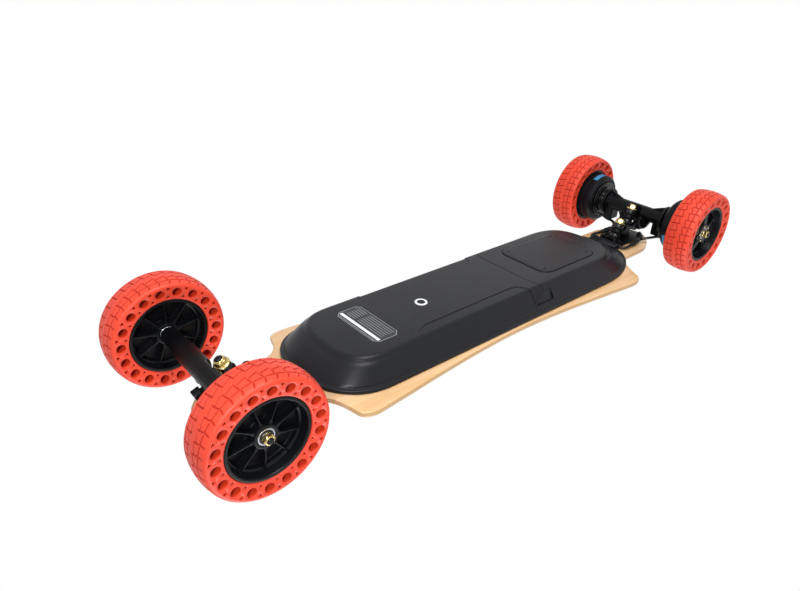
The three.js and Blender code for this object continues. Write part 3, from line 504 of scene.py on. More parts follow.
def lathe(profile, segments):
    """Turn a closed (radius, height) loop about the Z axis."""
    form = bmesh.new()
    rings = []
    for k in range(segments):
        angle = 2 * math.pi * k / segments
        rings.append([form.verts.new((r * math.cos(angle), r * math.sin(angle), h)) for r, h in profile])
    for k, ring in enumerate(rings):
        following = rings[(k + 1) % segments]
        for i in range(len(profile)):
            j = (i + 1) % len(profile)
            if profile[i][0] > 0 or profile[j][0] > 0:
                form.faces.new((ring[i], ring[j], following[j], following[i]))
    return tidy(form)


def spun(points, segments, steps=4):
    """Turn a loop about the Z axis after rounding its corners."""
    return lathe(soften(points, steps), segments)


def prism(outline, low, high, edge=0.0, both=True):
    """Raise a flat outline between two heights and round its rims."""
    form = bmesh.new()
    base = form.faces.new([form.verts.new((x, y, low)) for x, y in outline])
    raised = bmesh.ops.extrude_face_region(form, geom=[base])["geom"]
    top = [v for v in raised if isinstance(v, bmesh.types.BMVert)]
    bmesh.ops.translate(form, vec=(0, 0, high - low), verts=top)
    bmesh.ops.recalc_face_normals(form, faces=form.faces)
    if edge:
        levels = (low, high) if both else (high,)
        rims = [e for e in form.edges if any(all(abs(v.co.z - z) < 1e-4 for v in e.verts) for z in levels)]
        bmesh.ops.bevel(form, geom=rims, offset=edge, segments=3, profile=0.5, affect="EDGES")
    return form


def cuboid(low, high):
    form = bmesh.new()
    bmesh.ops.create_cube(form, size=1)
    for v in form.verts:
        v.co = [low[k] if v.co[k] < 0 else high[k] for k in range(3)]
    return form


def tube(path, radii, sides):
    """Sweep a round section along points in space."""
    form = bmesh.new()
    path = [Vector(p) for p in path]
    normal = Vector((0, 0, 1))
    rings = []
    for i, here in enumerate(path):
        along = (path[min(i + 1, len(path) - 1)] - path[max(i - 1, 0)]).normalized()
        normal = (normal - along * normal.dot(along)).normalized()
        across = along.cross(normal)
        radius = radii[i] if hasattr(radii, "__len__") else radii
        rings.append([
            form.verts.new(here + radius * (normal * math.cos(a) + across * math.sin(a)))
            for a in (2 * math.pi * k / sides for k in range(sides))
        ])
    skin(form, rings)
    form.faces.new(rings[0])
    form.faces.new(rings[-1])
    bmesh.ops.recalc_face_normals(form, faces=form.faces)
    return form


def along_route(points, steps):
    """Smooth points by a centripetal curve through all of them."""
    knots = [Vector(p) for p in points]
    ends = [2 * knots[0] - knots[1], *knots, 2 * knots[-1] - knots[-2]]
    route = [knots[0]]
    for a, b, c, d in zip(ends, ends[1:], ends[2:], ends[3:]):
        t1 = (b - a).length ** 0.5
        t2 = t1 + (c - b).length ** 0.5
        t3 = t2 + (d - c).length ** 0.5
        for step in range(1, steps + 1):
            t = t1 + (t2 - t1) * step / steps
            p = a * ((t1 - t) / t1) + b * (t / t1)
            q = b * ((t2 - t) / (t2 - t1)) + c * ((t - t1) / (t2 - t1))
            r = c * ((t3 - t) / (t3 - t2)) + d * ((t - t2) / (t3 - t2))
            u = p * ((t2 - t) / t2) + q * (t / t2)
            v = q * ((t3 - t) / (t3 - t1)) + r * ((t - t1) / (t3 - t1))
            route.append(u * ((t2 - t) / (t2 - t1)) + v * ((t - t1) / (t2 - t1)))
    return route


def merged(*forms):
    """Gather several closed forms into one."""
    whole = bmesh.new()
    for form in forms:
        mesh = bpy.data.meshes.new("part")
        form.to_mesh(mesh)
        whole.from_mesh(mesh)
        bpy.data.meshes.remove(mesh)
        form.free()
    return whole


def moved(form, matrix):
    """Move a form in place and hand it on."""
    bmesh.ops.transform(form, matrix=matrix, verts=form.verts)
    return form


def paint(form, index):
    """Give all faces of a form one of its piece's finishes."""
    for face in form.faces:
        face.material_index = index
    return form


def through_modifiers(form, add_modifiers):
    """Pass a form through modifiers and return the result as a new form."""
    mesh = bpy.data.meshes.new("work")
    form.to_mesh(mesh)
    worker = bpy.data.objects.new("work", mesh)
    bpy.context.scene.collection.objects.link(worker)
    helpers = add_modifiers(worker) or []
    evaluated = worker.evaluated_get(bpy.context.evaluated_depsgraph_get())
    result = bmesh.new()
    result.from_mesh(evaluated.to_mesh())
    evaluated.to_mesh_clear()
    for helper in [worker, *helpers]:
        data = helper.data
        bpy.data.objects.remove(helper)
        bpy.data.meshes.remove(data)
    form.free()
    return result


def combine(form, *others, how="DIFFERENCE"):
    """Cut the other forms out of the first, or join or intersect them."""
    def add_booleans(worker):
        helpers = []
        for other in others:
            mesh = bpy.data.meshes.new("cutter")
            other.to_mesh(mesh)
            other.free()
            helper = bpy.data.objects.new("cutter", mesh)
            bpy.context.scene.collection.objects.link(helper)
            modifier = worker.modifiers.new("cut", "BOOLEAN")
            modifier.operation, modifier.object, modifier.solver = how, helper, "EXACT"
            helpers.append(helper)
        return helpers
    return through_modifiers(form, add_booleans)


def at(x, y, z):
    return Matrix.Translation((x, y, z))


def about(axis, angle):
    return Matrix.Rotation(angle, 4, axis)


# Turn a form over, or stand it up so that its Y becomes Z
FLIP = about("X", math.pi)
STAND = about("X", math.pi / 2)


def cast_from(node, voxel, extras):
    """Give a CAD solid the rounded edges of a casting, with its ribs and flanges grown on."""
    form = bmesh.new()
    form.from_mesh(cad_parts[node].data)
    form = merged(moved(form, Matrix.Scale(1 / MM, 4)), *extras)

    def add_rounding(worker):
        remesh = worker.modifiers.new("grid", "REMESH")
        remesh.mode, remesh.voxel_size, remesh.adaptivity = "VOXEL", voxel / MM, 0
        smooth = worker.modifiers.new("round", "SMOOTH")
        smooth.factor, smooth.iterations = 0.6, 4
    return through_modifiers(form, add_rounding)


# Pieces and where they go

def truck_frame(end):
    turn = about("Z", 0 if HEADING[end] > 0 else math.pi)
    return at(HEADING[end] * WHEELBASE / 2, 0, AXLE_HEIGHT) @ turn


def steer_frame(end):
    return truck_frame(end) @ at(*SEAT) @ about("Y", -LEAN)


def wheel_frame(end, side):
    """Wheel with local Z pointing outboard along the axle."""
    place = at(HEADING[end] * WHEELBASE / 2, SIDES[side] * TRACK[end] / 2, AXLE_HEIGHT)
    return place @ about("Z", 0 if SIDES[side] > 0 else math.pi) @ about("X", -math.pi / 2)


def piece(name, form, finishes, body=None, matrix=None, stands_for=(), smooth=32):
    """Make an object of a form, in its place, and let it ride on its body."""
    moved(form, Matrix.Scale(MM, 4) @ (matrix or Matrix.Identity(4)))
    bmesh.ops.recalc_face_normals(form, faces=form.faces)
    mesh = bpy.data.meshes.new(name)
    form.to_mesh(mesh)
    form.free()
    for polygon in mesh.polygons:
        polygon.use_smooth = True
    mesh.set_sharp_from_angle(angle=math.radians(smooth))
    made = bpy.data.objects.new(name, mesh)
    bpy.context.scene.collection.objects.link(made)
    for finish in finishes:
        mesh.materials.append(FINISHES[finish].material)
    if body:
        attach(made, body)
    if stands_for:
        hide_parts(*stands_for)
    return made


def dress(node, finish):
    """Give a CAD node that stays in view one of the finishes."""
    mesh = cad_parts[node].data
    mesh.materials.clear()
    mesh.materials.append(FINISHES[finish].material)


def concave(y):
    """Rise of the deck over its middle, at a distance from the centre line."""
    share = max(0.0, abs(y) - CONCAVE_FLAT) / (CONCAVE_EDGE - CONCAVE_FLAT)
    return CONCAVE_RISE * share ** 1.6


# Deck

def deck_outline(inset=0.0):
    """Plan outline: a narrow tip, a neck behind it, wide corners and a waist."""
    tip, neck, shoulder, waist = 515, 60, 126, 106
    quarter = [(0, waist)]
    quarter += bezier([(0, waist), (108.7, waist), (228.2, shoulder - 6), (306, shoulder)], 16)
    quarter += bezier([(306, shoulder), (334, shoulder + 1), (338, shoulder - 16)], 10)
    quarter += bezier([(338, shoulder - 16), (346, shoulder - 42), (358, neck + 1), (383, neck)], 14)
    quarter += bezier([(383, neck), (411, neck - 0.5), (440, neck - 1)], 3)
    quarter += bezier([(440, neck - 1), (468, neck - 3), (tip, neck / 2), (tip, 0)], 18)
    return offset(four_ways(quarter), inset) if inset else four_ways(quarter)


def curved_sheet(outline, low, high, rows):
    """Close a sheet that follows the deck's concave.

    Each row of its rim is (inset, share of the height, finish).
    """
    form = bmesh.new()
    rings = [offset(outline, inset) if inset else outline for inset, _, _ in rows]
    layers = []
    for ring, (_, share, _) in zip(rings, rows):
        base = low + (high - low) * share
        layers.append([form.verts.new((x, y, base + concave(y))) for x, y in ring])
    for k in range(len(rows) - 1):
        for face in skin(form, layers[k:k + 2]):
            face.material_index = rows[k][2]
    grid = [(x, y) for x in range(-500, 501, 20) for y in range(-120, 121, 6)]
    for ring, level in ((rings[0], low), (rings[-1], high)):
        deep = offset(ring, 2.5)
        spots, faces = fill_flat([ring], [p for p in grid if inside(p, deep)])
        made = [form.verts.new((x, y, level + concave(y))) for x, y in spots]
        for face in faces:
            form.faces.new([made[k] for k in face])
    return tidy(form, 0.002)


class MOUNTAINBOARD_OT_deck(bpy.types.Operator):
    """Build the maple deck and the grip tape on it"""

    bl_idname = "mountainboard.deck"
    bl_label = "Deck"

    def execute(self, context):
        sizes = context.scene.mountainboard_board
        edge = sizes.deck_edge / MM
        plies = sizes.ply_count
        levels = sorted({k / plies for k in range(plies + 1)} | {
            share for d in (0.25, 0.6, 1.2, 1.9) for share in (d / DECK_THICKNESS, 1 - d / DECK_THICKNESS)
        })
        rows = []
        for k, share in enumerate(levels):
            depth = max(0.0, edge - min(share, 1 - share) * DECK_THICKNESS)
            inset = edge - math.sqrt(max(0.0, edge ** 2 - depth ** 2))
            middle = (share + levels[min(k + 1, len(levels) - 1)]) / 2
            rows.append((inset, share, int(middle * plies) % 2))
        outline = deck_outline()
        deck = curved_sheet(outline, DECK_UNDER, DECK_UNDER + DECK_THICKNESS, rows)
        piece("maple_deck", deck, ["maple_face", "maple_cross_ply"], "board", None, ["deck"], 50)
        tape_low = DECK_UNDER + DECK_THICKNESS + TAPE_GAP
        rim = [(0, 0, 0), (0, 0.6, 0), (0.4, 1, 0)]
        tape = curved_sheet(deck_outline(3.2), tape_low, tape_low + TAPE_THICKNESS, rim)
        piece("grip_sheet", tape, ["grip_grit"], "board", None, ["grip_tape"], 50)
        return {"FINISHED"}


# Case

HATCH_MIDDLE = (-194, 0)
BUTTON_MIDDLE = (126, 0)
LABEL_MIDDLE = 235
LABEL_FLOOR = FACE + 0.6
JOINT_MIDDLE = -73
EDGE_FALL = 9.6
FOOT_SHARE = 0.225
WALL_SPOT = (-78, -87, 118.6)
WALL_TILT = math.radians(90 + 30.05)
# Plan outlines: (nose, tail, half width, nose blend, tail blend, fullness)
CASE_RINGS = {
    "flange": (365, 388, 103, 103, 138, 2.3),
    "foot": (357, 380, 97.5, 99, 134, 2.4),
    "shoulder": (322, 320, 80, 74, 95, 2.8),
    "face": (315, 314, 75, 66, 90, 2.9),
}


def case_ring(values, inset=0.0):
    """Closed plan outline of the case: rounded ends joined by straight sides."""
    nose, tail, half, nose_blend, tail_blend, fullness = values
    steps = 30
    ends = []
    for reach, blend, sign in ((nose - inset, nose_blend, 1), (tail - inset, tail_blend, -1)):
        end = []
        for k in range(steps + 1):
            angle = k / steps * math.pi / 2
            x = reach - blend + blend * math.cos(angle) ** (2 / fullness)
            end.append((sign * x, (half - inset) * math.sin(angle) ** (2 / fullness)))
        ends.append(end)
    front, back = ends
    span = [(front[-1][0] + (back[-1][0] - front[-1][0]) * k / 24, front[-1][1]) for k in range(1, 24)]
    upper = front + span + back[::-1]
    return upper + [(x, -y) for x, y in reversed(upper[1:-1])]


def between(first, second, share):
    """Blend two rows of numbers."""
    return tuple(a + (b - a) * share for a, b in zip(first, second))


def ring_loft(rings):
    """Skin matching closed outlines, each with its heights, and cap both ends."""
    form = bmesh.new()
    layers = []
    for outline, height in rings:
        rise = height if callable(height) else (lambda y, level=height: level)
        layers.append([form.verts.new((x, y, rise(y))) for x, y in outline])
    skin(form, layers)
    for layer in (layers[0], layers[-1]):
        form.faces.new(layer)
    bmesh.ops.recalc_face_normals(form, faces=form.faces)
    return form


def over_concave(level):
    return lambda y: level + concave(y)


def case_rings(inset=0.0):
    """Outlines of the case wall from its flat face down to the flange."""
    face, shoulder, foot = (CASE_RINGS[k] for k in ("face", "shoulder", "foot"))
    rings = []
    inner = between(face, shoulder, -0.55)
    for k in range(10):
        t = k / 9
        share = 1.25 * t
        if share <= 1:
            spot = between(inner, shoulder, share)
        else:
            spot = between(shoulder, foot, (share - 1) * 0.9)
        rings.append((case_ring(spot, inset), FACE + inset + t ** 2.1 * EDGE_FALL))
    last = FACE + inset + EDGE_FALL
    for k in range(1, 9):
        t = k / 8
        spot = between(between(shoulder, foot, FOOT_SHARE), foot, t)
        rings.append((case_ring(spot, inset), last + (WALL_FOOT - last) * t))
    return rings


def case_core(inset):
    """Inside of the case wall at a depth, run on past the wall's foot."""
    return [*case_rings(inset), (case_ring(CASE_RINGS["foot"], inset), WALL_FOOT + 8)]


def case_outer():
    rings = case_rings()
    foot, flange = CASE_RINGS["foot"], CASE_RINGS["flange"]
    brim = ((0.04, -1.2), (0.14, -0.3), (0.3, 0), (0.8, 0), (0.93, 0.5), (1, 1.8))
    for share, rise in brim:
        rings.append((case_ring(between(foot, flange, share)), over_concave(WALL_FOOT + rise)))
    rings.append((case_ring(flange), over_concave(FLANGE_TOP)))
    return ring_loft(rings)


def joint_groove():
    """Bowed parting groove that runs over the face and down both walls."""
    half, depth = 0.75, 1.0
    middle = [(JOINT_MIDDLE - 10 * max(0.0, (abs(y) - 42) / 46) ** 2, y) for y in range(-100, 101, 4)]
    front = [(x + half, y) for x, y in middle]
    back = [(x - half, y) for x, y in reversed(middle)]
    strip = prism(front + back, FACE - 4, WALL_FOOT - 0.5)
    return combine(strip, ring_loft(case_core(depth)))


def side_recess(side):
    """Shallow recess along one shoulder of the case, cut down the wall."""
    points = [
        (205, 120), (196, 78, 8), (188, 62, 12), (166, 54, 14), (-28, 53, 12), (-44, 58, 10), (-52, 74, 8),
        (-56, 120),
    ]
    depth = 1.0
    outline = [(x, side * y) for x, y in soften(points, 6)]
    return combine(prism(outline, FACE - 4, WALL_FOOT - 3), ring_loft(case_core(depth)))


def wall_frame():
    """Place of the charge socket in the case wall, with local Z pointing outwards."""
    return at(*WALL_SPOT) @ about("X", WALL_TILT)


def screw(head, height, socket, sides=24):
    """Button-head screw with a hexagon socket, head up."""
    body = spun([
        (0, -1.2), (head * 0.5, -1.2), (head, 0, 0.2), (head, height * 0.35, 0.6),
        (head * 0.62, height, 0.6), (0, height),
    ], sides, 3)
    return combine(body, prism(circle(socket * 0.58, 6), height * 0.35, height + 1))


class MOUNTAINBOARD_OT_case(bpy.types.Operator):
    """Build the moulded case with its seal, hatch and label place"""

    bl_idname = "mountainboard.case"
    bl_label = "Case"

    def execute(self, context):
        head = context.scene.mountainboard_board.screw_head / MM / 2
        self.build_shell()
        self.build_seal()
        self.build_hatch(head)
        self.build_label()
        return {"FINISHED"}

    def build_shell(self):
        hollow = ring_loft([*case_rings(3.0), (case_ring(CASE_RINGS["foot"], 3.0), FLANGE_TOP + 20)])
        shell = combine(
            case_outer(), hollow, side_recess(1), side_recess(-1), joint_groove(),
            prism(rounded_rectangle(154.8, 116.8, 26, HATCH_MIDDLE), FACE - 4, FACE + 2.0),
            prism(self.label_outline(0.4), FACE - 4, LABEL_FLOOR),
            prism(circle(10.8, 48, BUTTON_MIDDLE), FACE - 4, FACE + 2.8),
            prism(circle(6.8, 48, BUTTON_MIDDLE), FACE, FACE + 8),
            moved(cuboid((-21.2, -9.8, -0.9), (22.4, 9.8, 6)), wall_frame()),
        )
        piece("case_moulding", shell, ["case_grain"], "board", None, ["case_shell"], 28)

    def build_seal(self):
        outline = case_ring(CASE_RINGS["flange"], 1.2)
        inner = case_ring(CASE_RINGS["flange"], 10)
        low, high = FLANGE_TOP + 0.2, DECK_UNDER - 0.05
        form = bmesh.new()
        loops = [
            [form.verts.new((x, y, level + concave(y))) for x, y in line]
            for line, level in ((outline, low), (outline, high), (inner, high), (inner, low))
        ]
        skin(form, loops + loops[:1])
        piece("case_seal_strip", form, ["seal_rubber"], "board", None, ["case_gasket"])

    def build_hatch(self, head):
        low, high = FACE - 1.1, FACE + 1.6
        plate = prism(rounded_rectangle(152, 114, 25), -high, -low, 0.5, both=False)
        moved(plate, FLIP)
        sinks, screws = [], []
        for x, y in ((62, 43), (62, -43), (-62, 43), (-62, -43)):
            sinks.append(prism(circle(head + 0.35, 24, (x, y)), low - 3, low + 0.9))
            screws.append(moved(screw(head, 0.9, head * 0.5), at(x, y, low + 1.1) @ FLIP))
        place = at(*HATCH_MIDDLE, 0)
        piece("hatch_plate", combine(plate, *sinks), ["hatch_grain"], "board", place, ["hatch_cover"])
        piece("hatch_screws", merged(*screws), ["dark_steel"], "board", place)

    def label_outline(self, grow):
        """Rectangle with cut corners, grown all round."""
        x, y, chamfer = 24 + grow, 52 + grow, 8
        corners = [(x, y - chamfer), (x - chamfer, y), (chamfer - x, y), (-x, y - chamfer),
                   (-x, chamfer - y), (chamfer - x, -y), (x - chamfer, -y), (x, chamfer - y)]
        return [(px + LABEL_MIDDLE, py) for px, py in corners]

    def build_label(self):
        floor = LABEL_FLOOR
        plate = prism(self.label_outline(-0.2), floor - 0.35, floor)
        piece("label_plate", plate, ["label_face"], "board")
        outer, inner = self.label_outline(-1.0), self.label_outline(-1.7)
        line = combine(prism(outer, floor - 0.5, floor - 0.3), prism(inner, floor - 1, floor))
        piece("label_border", line, ["label_line"], "board")
        stripe = prism(rounded_rectangle(5, 94, 0.6, (LABEL_MIDDLE + 14, 0)), floor - 0.55, floor - 0.3)
        piece("label_stripe", stripe, ["ring_white"], "board")
        rules = [
            prism(rounded_rectangle(1.1, length, 0.2, (LABEL_MIDDLE + x, y)), floor - 0.5, floor - 0.3)
            for x, length, y in self.label_rules()
        ]
        piece("label_rules", merged(*rules), ["label_rule"], "board")

    def label_rules(self):
        """Places of the plain ruled lines, from the label's middle: (x, length, middle y)."""
        rules = [(6 - 4.6 * k, length, y) for length, y in ((58, -14), (20, 32)) for k in range(6)]
        return rules + [(20, 86, 0)]


class MOUNTAINBOARD_OT_controls(bpy.types.Operator):
    """Build the power button with its ring, and the charge socket with its cap"""

    bl_idname = "mountainboard.controls"
    bl_label = "Button and charge socket"

    def execute(self, context):
        ring = spun([
            (6.8, -0.6, 0.3), (7.6, -0.9, 0.3), (9.6, -0.9, 0.5), (10.5, -0.2, 0.4), (10.5, 2.5), (6.8, 2.5),
        ], 96)
        place = at(*BUTTON_MIDDLE, FACE)
        piece("button_bezel", ring, ["ring_white"], "board", place, ["button_ring"])
        button = spun([
            (0, -0.5), (3.2, -0.5, 0.6), (4.2, -0.8, 0.6), (6.5, -0.8, 0.7), (6.5, 3.3), (8.5, 3.3),
            (8.5, 5.7), (0, 5.7),
        ], 72)
        piece("button_cap", button, ["nylon_insert"], "power_button", place, ["power_button"])

        wall = wall_frame()
        socket = spun([(0, -18), (9, -18), (9, -1.2, 0.3), (6.2, -1.2, 0.3), (6.2, -14), (0, -14)], 48)
        piece("charge_socket_body", socket, ["nylon_insert"], "board", wall, ["charge_port"])
        pin = lathe([(0, -14.5), (1.1, -14.5), (1.1, -6.4), (0.6, -5.8), (0, -5.8)], 16)
        pins = [moved(pin.copy(), at(x, y, 0)) for x, y in ((0, 2.4), (2.1, -1.4), (-2.1, -1.4))]
        pin.free()
        piece("charge_socket_pins", merged(*pins), ["bright_steel"], "board", wall)
        flap = prism(rounded_rectangle(42, 19.4, 1.4), -0.6, 0.5, 0.3)
        ribs = [
            prism(rounded_rectangle(1.1, 18, 0.4, (x, 0)), 0.3, 1.3, 0.3, both=False) for x in (-16, 17)
        ]
        plug = spun([(0, -4.6), (4.2, -4.6, 0.6), (4.6, -3.2, 0.4), (4.6, -0.4), (0, -0.4)], 36)
        cap = merged(flap, *ribs, plug)
        piece("charge_cap_flap", cap, ["case_grain"], "charge_port_cap", wall, ["charge_port_cap"])
        return {"FINISHED"}


# Tyres

TYRE_PITCH = 14.4
BLOCKS_PER_HOLE = 2
TREAD_TILT = 0.2
TOOTH_NARROW = 4.4
TOOTH_WIDE = 8.4
TREAD_RING = 15.4
TREAD_EDGE = 22.4
LIP_SHARE = 0.28
FILL_SHARES = (0.33, 0.67)
SIDE_OUTER = 75.2
SIDE_INNER = 57.0
BORE_RADIUS = 55.6
HOLE_CIRCLE = 66.5
HOLE_RADIUS = 6.3
# Small triangular holes: (radius of the base, radius of the tip, half of the base)
TRIANGLES = ((74.2, 69.4, 2.9), (58.5, 62.9, 2.3))


def tyre_section():
    """Points across half of the tyre's outside, from mid tread to the flat sidewall."""
    points = [(y, AXLE_HEIGHT - 0.00575 * y * y) for y in [k * 20 / 24 for k in range(25)]]
    points += bezier([points[-1], (25.5, 78.6), (25.6, 75.2)], 12)
    lengths = [0.0]
    for a, b in zip(points, points[1:]):
        lengths.append(lengths[-1] + math.dist(a, b))
    return points, lengths


def tyre_spot(section, across, depth):
    """(radius, width) of a point at an arc distance across the tread, sunk by a depth."""
    points, lengths = section
    distance = min(abs(across), lengths[-1])
    k = next((i for i, reach in enumerate(lengths[1:]) if reach >= distance - 1e-9), len(lengths) - 2)
    a, b = Vector(points[k]), Vector(points[k + 1])
    share = (distance - lengths[k]) / (lengths[k + 1] - lengths[k])
    along = (b - a).normalized()
    y, r = a + (b - a) * share - Vector((-along.y, along.x)) * depth
    return r, math.copysign(y, across) if across else 0.0


def pitch_places(groove):
    """Places of the columns along one pitch of the tread, close together at its two cross grooves."""
    lip = groove * LIP_SHARE
    half_pitch = TYRE_PITCH / 2
    places = [0, lip, groove - lip, groove]
    places += [groove + (half_pitch - groove) * share for share in FILL_SHARES]
    return sorted(places + [half_pitch + value for value in places])


def half_column(place, groove, whole):
    """(distance from mid tread, sunk) of each vertex on one side, at a place within its pitch."""
    lip = groove * LIP_SHARE
    in_cut = lip - 1e-6 <= place <= groove - lip + 1e-6
    tooth = TOOTH_WIDE
    if place >= groove / 2:
        grown = max(0.0, place - groove) / (TYRE_PITCH - groove)
        tooth = TOOTH_NARROW + (TOOTH_WIDE - TOOTH_NARROW) * grown
    rim = TOOTH_NARROW - groove / 2
    column = [(1.4, False), (rim - 0.6, False), (rim - 0.2, in_cut)]
    for middle, end in ((tooth, TREAD_RING), (TREAD_RING, TREAD_EDGE)):
        left = middle - groove / 2
        right = left + groove
        column += [(left, in_cut), (left + lip, True), (right - lip, True), (right, in_cut)]
        span = end - groove / 2 - left - groove
        column += [(right + span * share, in_cut) for share in FILL_SHARES]
    column += [(TREAD_EDGE, in_cut), (TREAD_EDGE + 0.8, False), (25.2, False), (26.2, False)]
    return column + [(whole, False)]


def add_tread(form, sizes, along):
    """Tread with its grooves, from one flat side of the tyre to the other."""
    section = tyre_section()
    whole = section[1][-1]
    groove, depth = sizes.groove_width / MM, sizes.groove_depth / MM
    pitches = BLOCKS_PER_HOLE * sizes.holes
    columns = []
    for pitch in range(pitches):
        for s in along:
            far = half_column((TYRE_PITCH / 2 + groove - s) % TYRE_PITCH, groove, whole)
            near = half_column(s, groove, whole)
            column = []
            for w, low in [(-w, low) for w, low in reversed(far)] + [(0.0, False)] + near:
                fade = max(0.0, min(1.0, (whole - 2 - abs(w)) / 8))
                angle = 2 * math.pi * (pitch + (s - TREAD_TILT * w * fade) / TYRE_PITCH) / pitches
                r, y = tyre_spot(section, w, depth if low else 0)
                column.append((form.verts.new((r * math.cos(angle), r * math.sin(angle), y)), low))
            columns.append(column)
    for k, column in enumerate(columns):
        following = columns[(k + 1) % len(columns)]
        for i in range(len(column) - 1):
            corners = [column[i], column[i + 1], following[i + 1], following[i]]
            face = form.faces.new([v for v, _ in corners])
            # Faces deep in a groove take the darker groove finish, which is painted shade
            face.material_index = int(sum(low for _, low in corners) >= 2)


def polar(r, angle):
    return (r * math.cos(angle), r * math.sin(angle))


def side_spot(x, y, side, sink=0.0):
    """Point of a tyre's slightly sloping side, sunk by a depth."""
    level = 23.2 + 2.4 * (math.hypot(x, y) - SIDE_INNER) / (SIDE_OUTER - SIDE_INNER)
    return Vector((x, y, side * (level - sink)))


def triangle(angle, base_r, tip_r, half_base, grow):
    """Rounded triangle on a ray from the axle, grown all round."""
    along = Vector(polar(1, angle))
    across = Vector((-along.y, along.x))
    sign = 1 if base_r > tip_r else -1
    base = along * (base_r + sign * grow)
    reach = across * (half_base + grow)
    corners = [base + reach, base - reach, along * (tip_r - sign * grow * 1.6)]
    return soften([(*corner, 0.7) for corner in corners], 3)


def add_sides(form, holes, along):
    """Both flat sides with their holes, and the bore, one sector for each round hole."""
    sector = 2 * math.pi / holes
    pitch_angle = sector / BLOCKS_PER_HOLE
    rim_angles = [
        pitch_angle * (pitch + s / TYRE_PITCH) for pitch in range(-1, BLOCKS_PER_HOLE) for s in along
    ]
    rim_angles = rim_angles[len(along) - 2:-1]
    start, stop = rim_angles[0], rim_angles[-1]
    hole_angle = sector * 0.25
    tri_angle = hole_angle + sector / 2
    inner_angles = [start + sector * k / 8 for k in range(9)]
    levels = [60, 64, 68, 72]
    outline = [polar(SIDE_OUTER, angle) for angle in rim_angles]
    outline += [polar(r, stop) for r in reversed(levels)]
    outline += [polar(SIDE_INNER, angle) for angle in reversed(inner_angles)]
    outline += [polar(r, start) for r in levels]
    centre = polar(HOLE_CIRCLE, hole_angle)
    openings = [(circle(HOLE_RADIUS, 28, centre), circle(HOLE_RADIUS + 0.25, 28, centre))]
    openings += [[triangle(tri_angle, *sizes, grow) for grow in (0.0, 0.35)] for sizes in TRIANGLES]
    spots, faces = fill_flat([outline, *[edge for _, edge in openings]])
    bore = [(SIDE_INNER, 23.2), (56.1, 22.9), (BORE_RADIUS, 22.2)]
    bore += [(r, -z) for r, z in reversed(bore)]
    for index in range(holes):
        turn = Matrix.Rotation(sector * index, 3, "Z")
        for side in (1, -1):
            made = [form.verts.new(turn @ side_spot(x, y, side)) for x, y in spots]
            for face in faces:
                form.faces.new([made[k] for k in face])
        for narrow, wide in openings:
            rings = [
                [form.verts.new(turn @ side_spot(x, y, side, sink)) for x, y in loop]
                for side, loop, sink in ((1, wide, 0), (1, narrow, 0.7), (-1, narrow, 0.7), (-1, wide, 0))
            ]
            for level in range(3):
                for face in skin(form, rings[level:level + 2]):
                    # The walls inside each hole take the hole finish: painted shade with a painted glow
                    # through the rubber
                    face.material_index = 2 if level == 1 else 0
        strips = []
        for angle in inner_angles:
            ray = Vector(polar(SIDE_INNER, angle)).normalized()
            strips.append([form.verts.new(turn @ Vector((*(ray * r), z))) for r, z in bore])
        skin(form, strips, around=False)


def tyre_form(sizes):
    """Airless tyre: grooved tread, flat sides with a ring of holes right through."""
    form = bmesh.new()
    along = pitch_places(sizes.groove_width / MM)
    add_tread(form, sizes, along)
    add_sides(form, sizes.holes, along)
    return tidy(form, 0.004)


class MOUNTAINBOARD_OT_tyres(bpy.types.Operator):
    """Build the four airless tyres"""

    bl_idname = "mountainboard.tyres"
    bl_label = "Tyres"

    def execute(self, context):
        form = tyre_form(context.scene.mountainboard_tyre)
        finishes = ["tyre_rubber", "tyre_groove_rubber", "tyre_hole_rubber"]
        for end in HEADING:
            for side in SIDES:
                name, body, place = f"{end}_{side}", f"{end}_{side}_wheel", wheel_frame(end, side)
                piece(f"{name}_tyre_rubber", form.copy(), finishes, body, place, [f"{name}_tyre"], 68)
        form.free()
        return {"FINISHED"}


# Rims

BEARING_SHIFT = 11.5
AXLE_NUT_SEAT = 15.3
NUT_FINISHES = ["zinc_yellow", "nylon_insert"]
# Turn of the front rims on their axles, as they stand in the photo
RIB_TURN = {"left": math.radians(11), "right": math.radians(26)}


def front_rim_form():
    """Nylon rim with a recessed web and nine thin ribs on each side."""
    half = [
        (6.5, 7.6), (11.3, 7.6), (11.3, 15.0), (12.0, 15.2, 0.3), (15.6, 15.2, 0.7), (16.6, 2.0, 1.5),
        (44.8, 2.0, 2.0), (46.0, 8.5, 0.6), (48.4, 9.8, 0.6), (50.2, 20.2, 0.8), (51.0, 22.2, 0.8),
        (54.6, 22.2, 1.0), (55.3, 20.6, 0.4),
    ]
    upper = soften(half, 3, closed=False)
    forms = [lathe(upper + [(r, -h) for r, h in reversed(upper)], 144)]
    plan = [
        (14.4, -2.6), (18.5, -2.0, 2), (21.5, -0.8, 3), (50.6, -0.7), (50.6, 0.7), (21.5, 0.8, 3),
        (18.5, 2.0, 2), (14.4, 2.6),
    ]
    for k in range(9):
        rib = prism(soften(plan, 4), -13.6, 13.6, 0.35)
        forms.append(moved(rib, about("Z", 2 * math.pi * k / 9)))
    return merged(*forms)


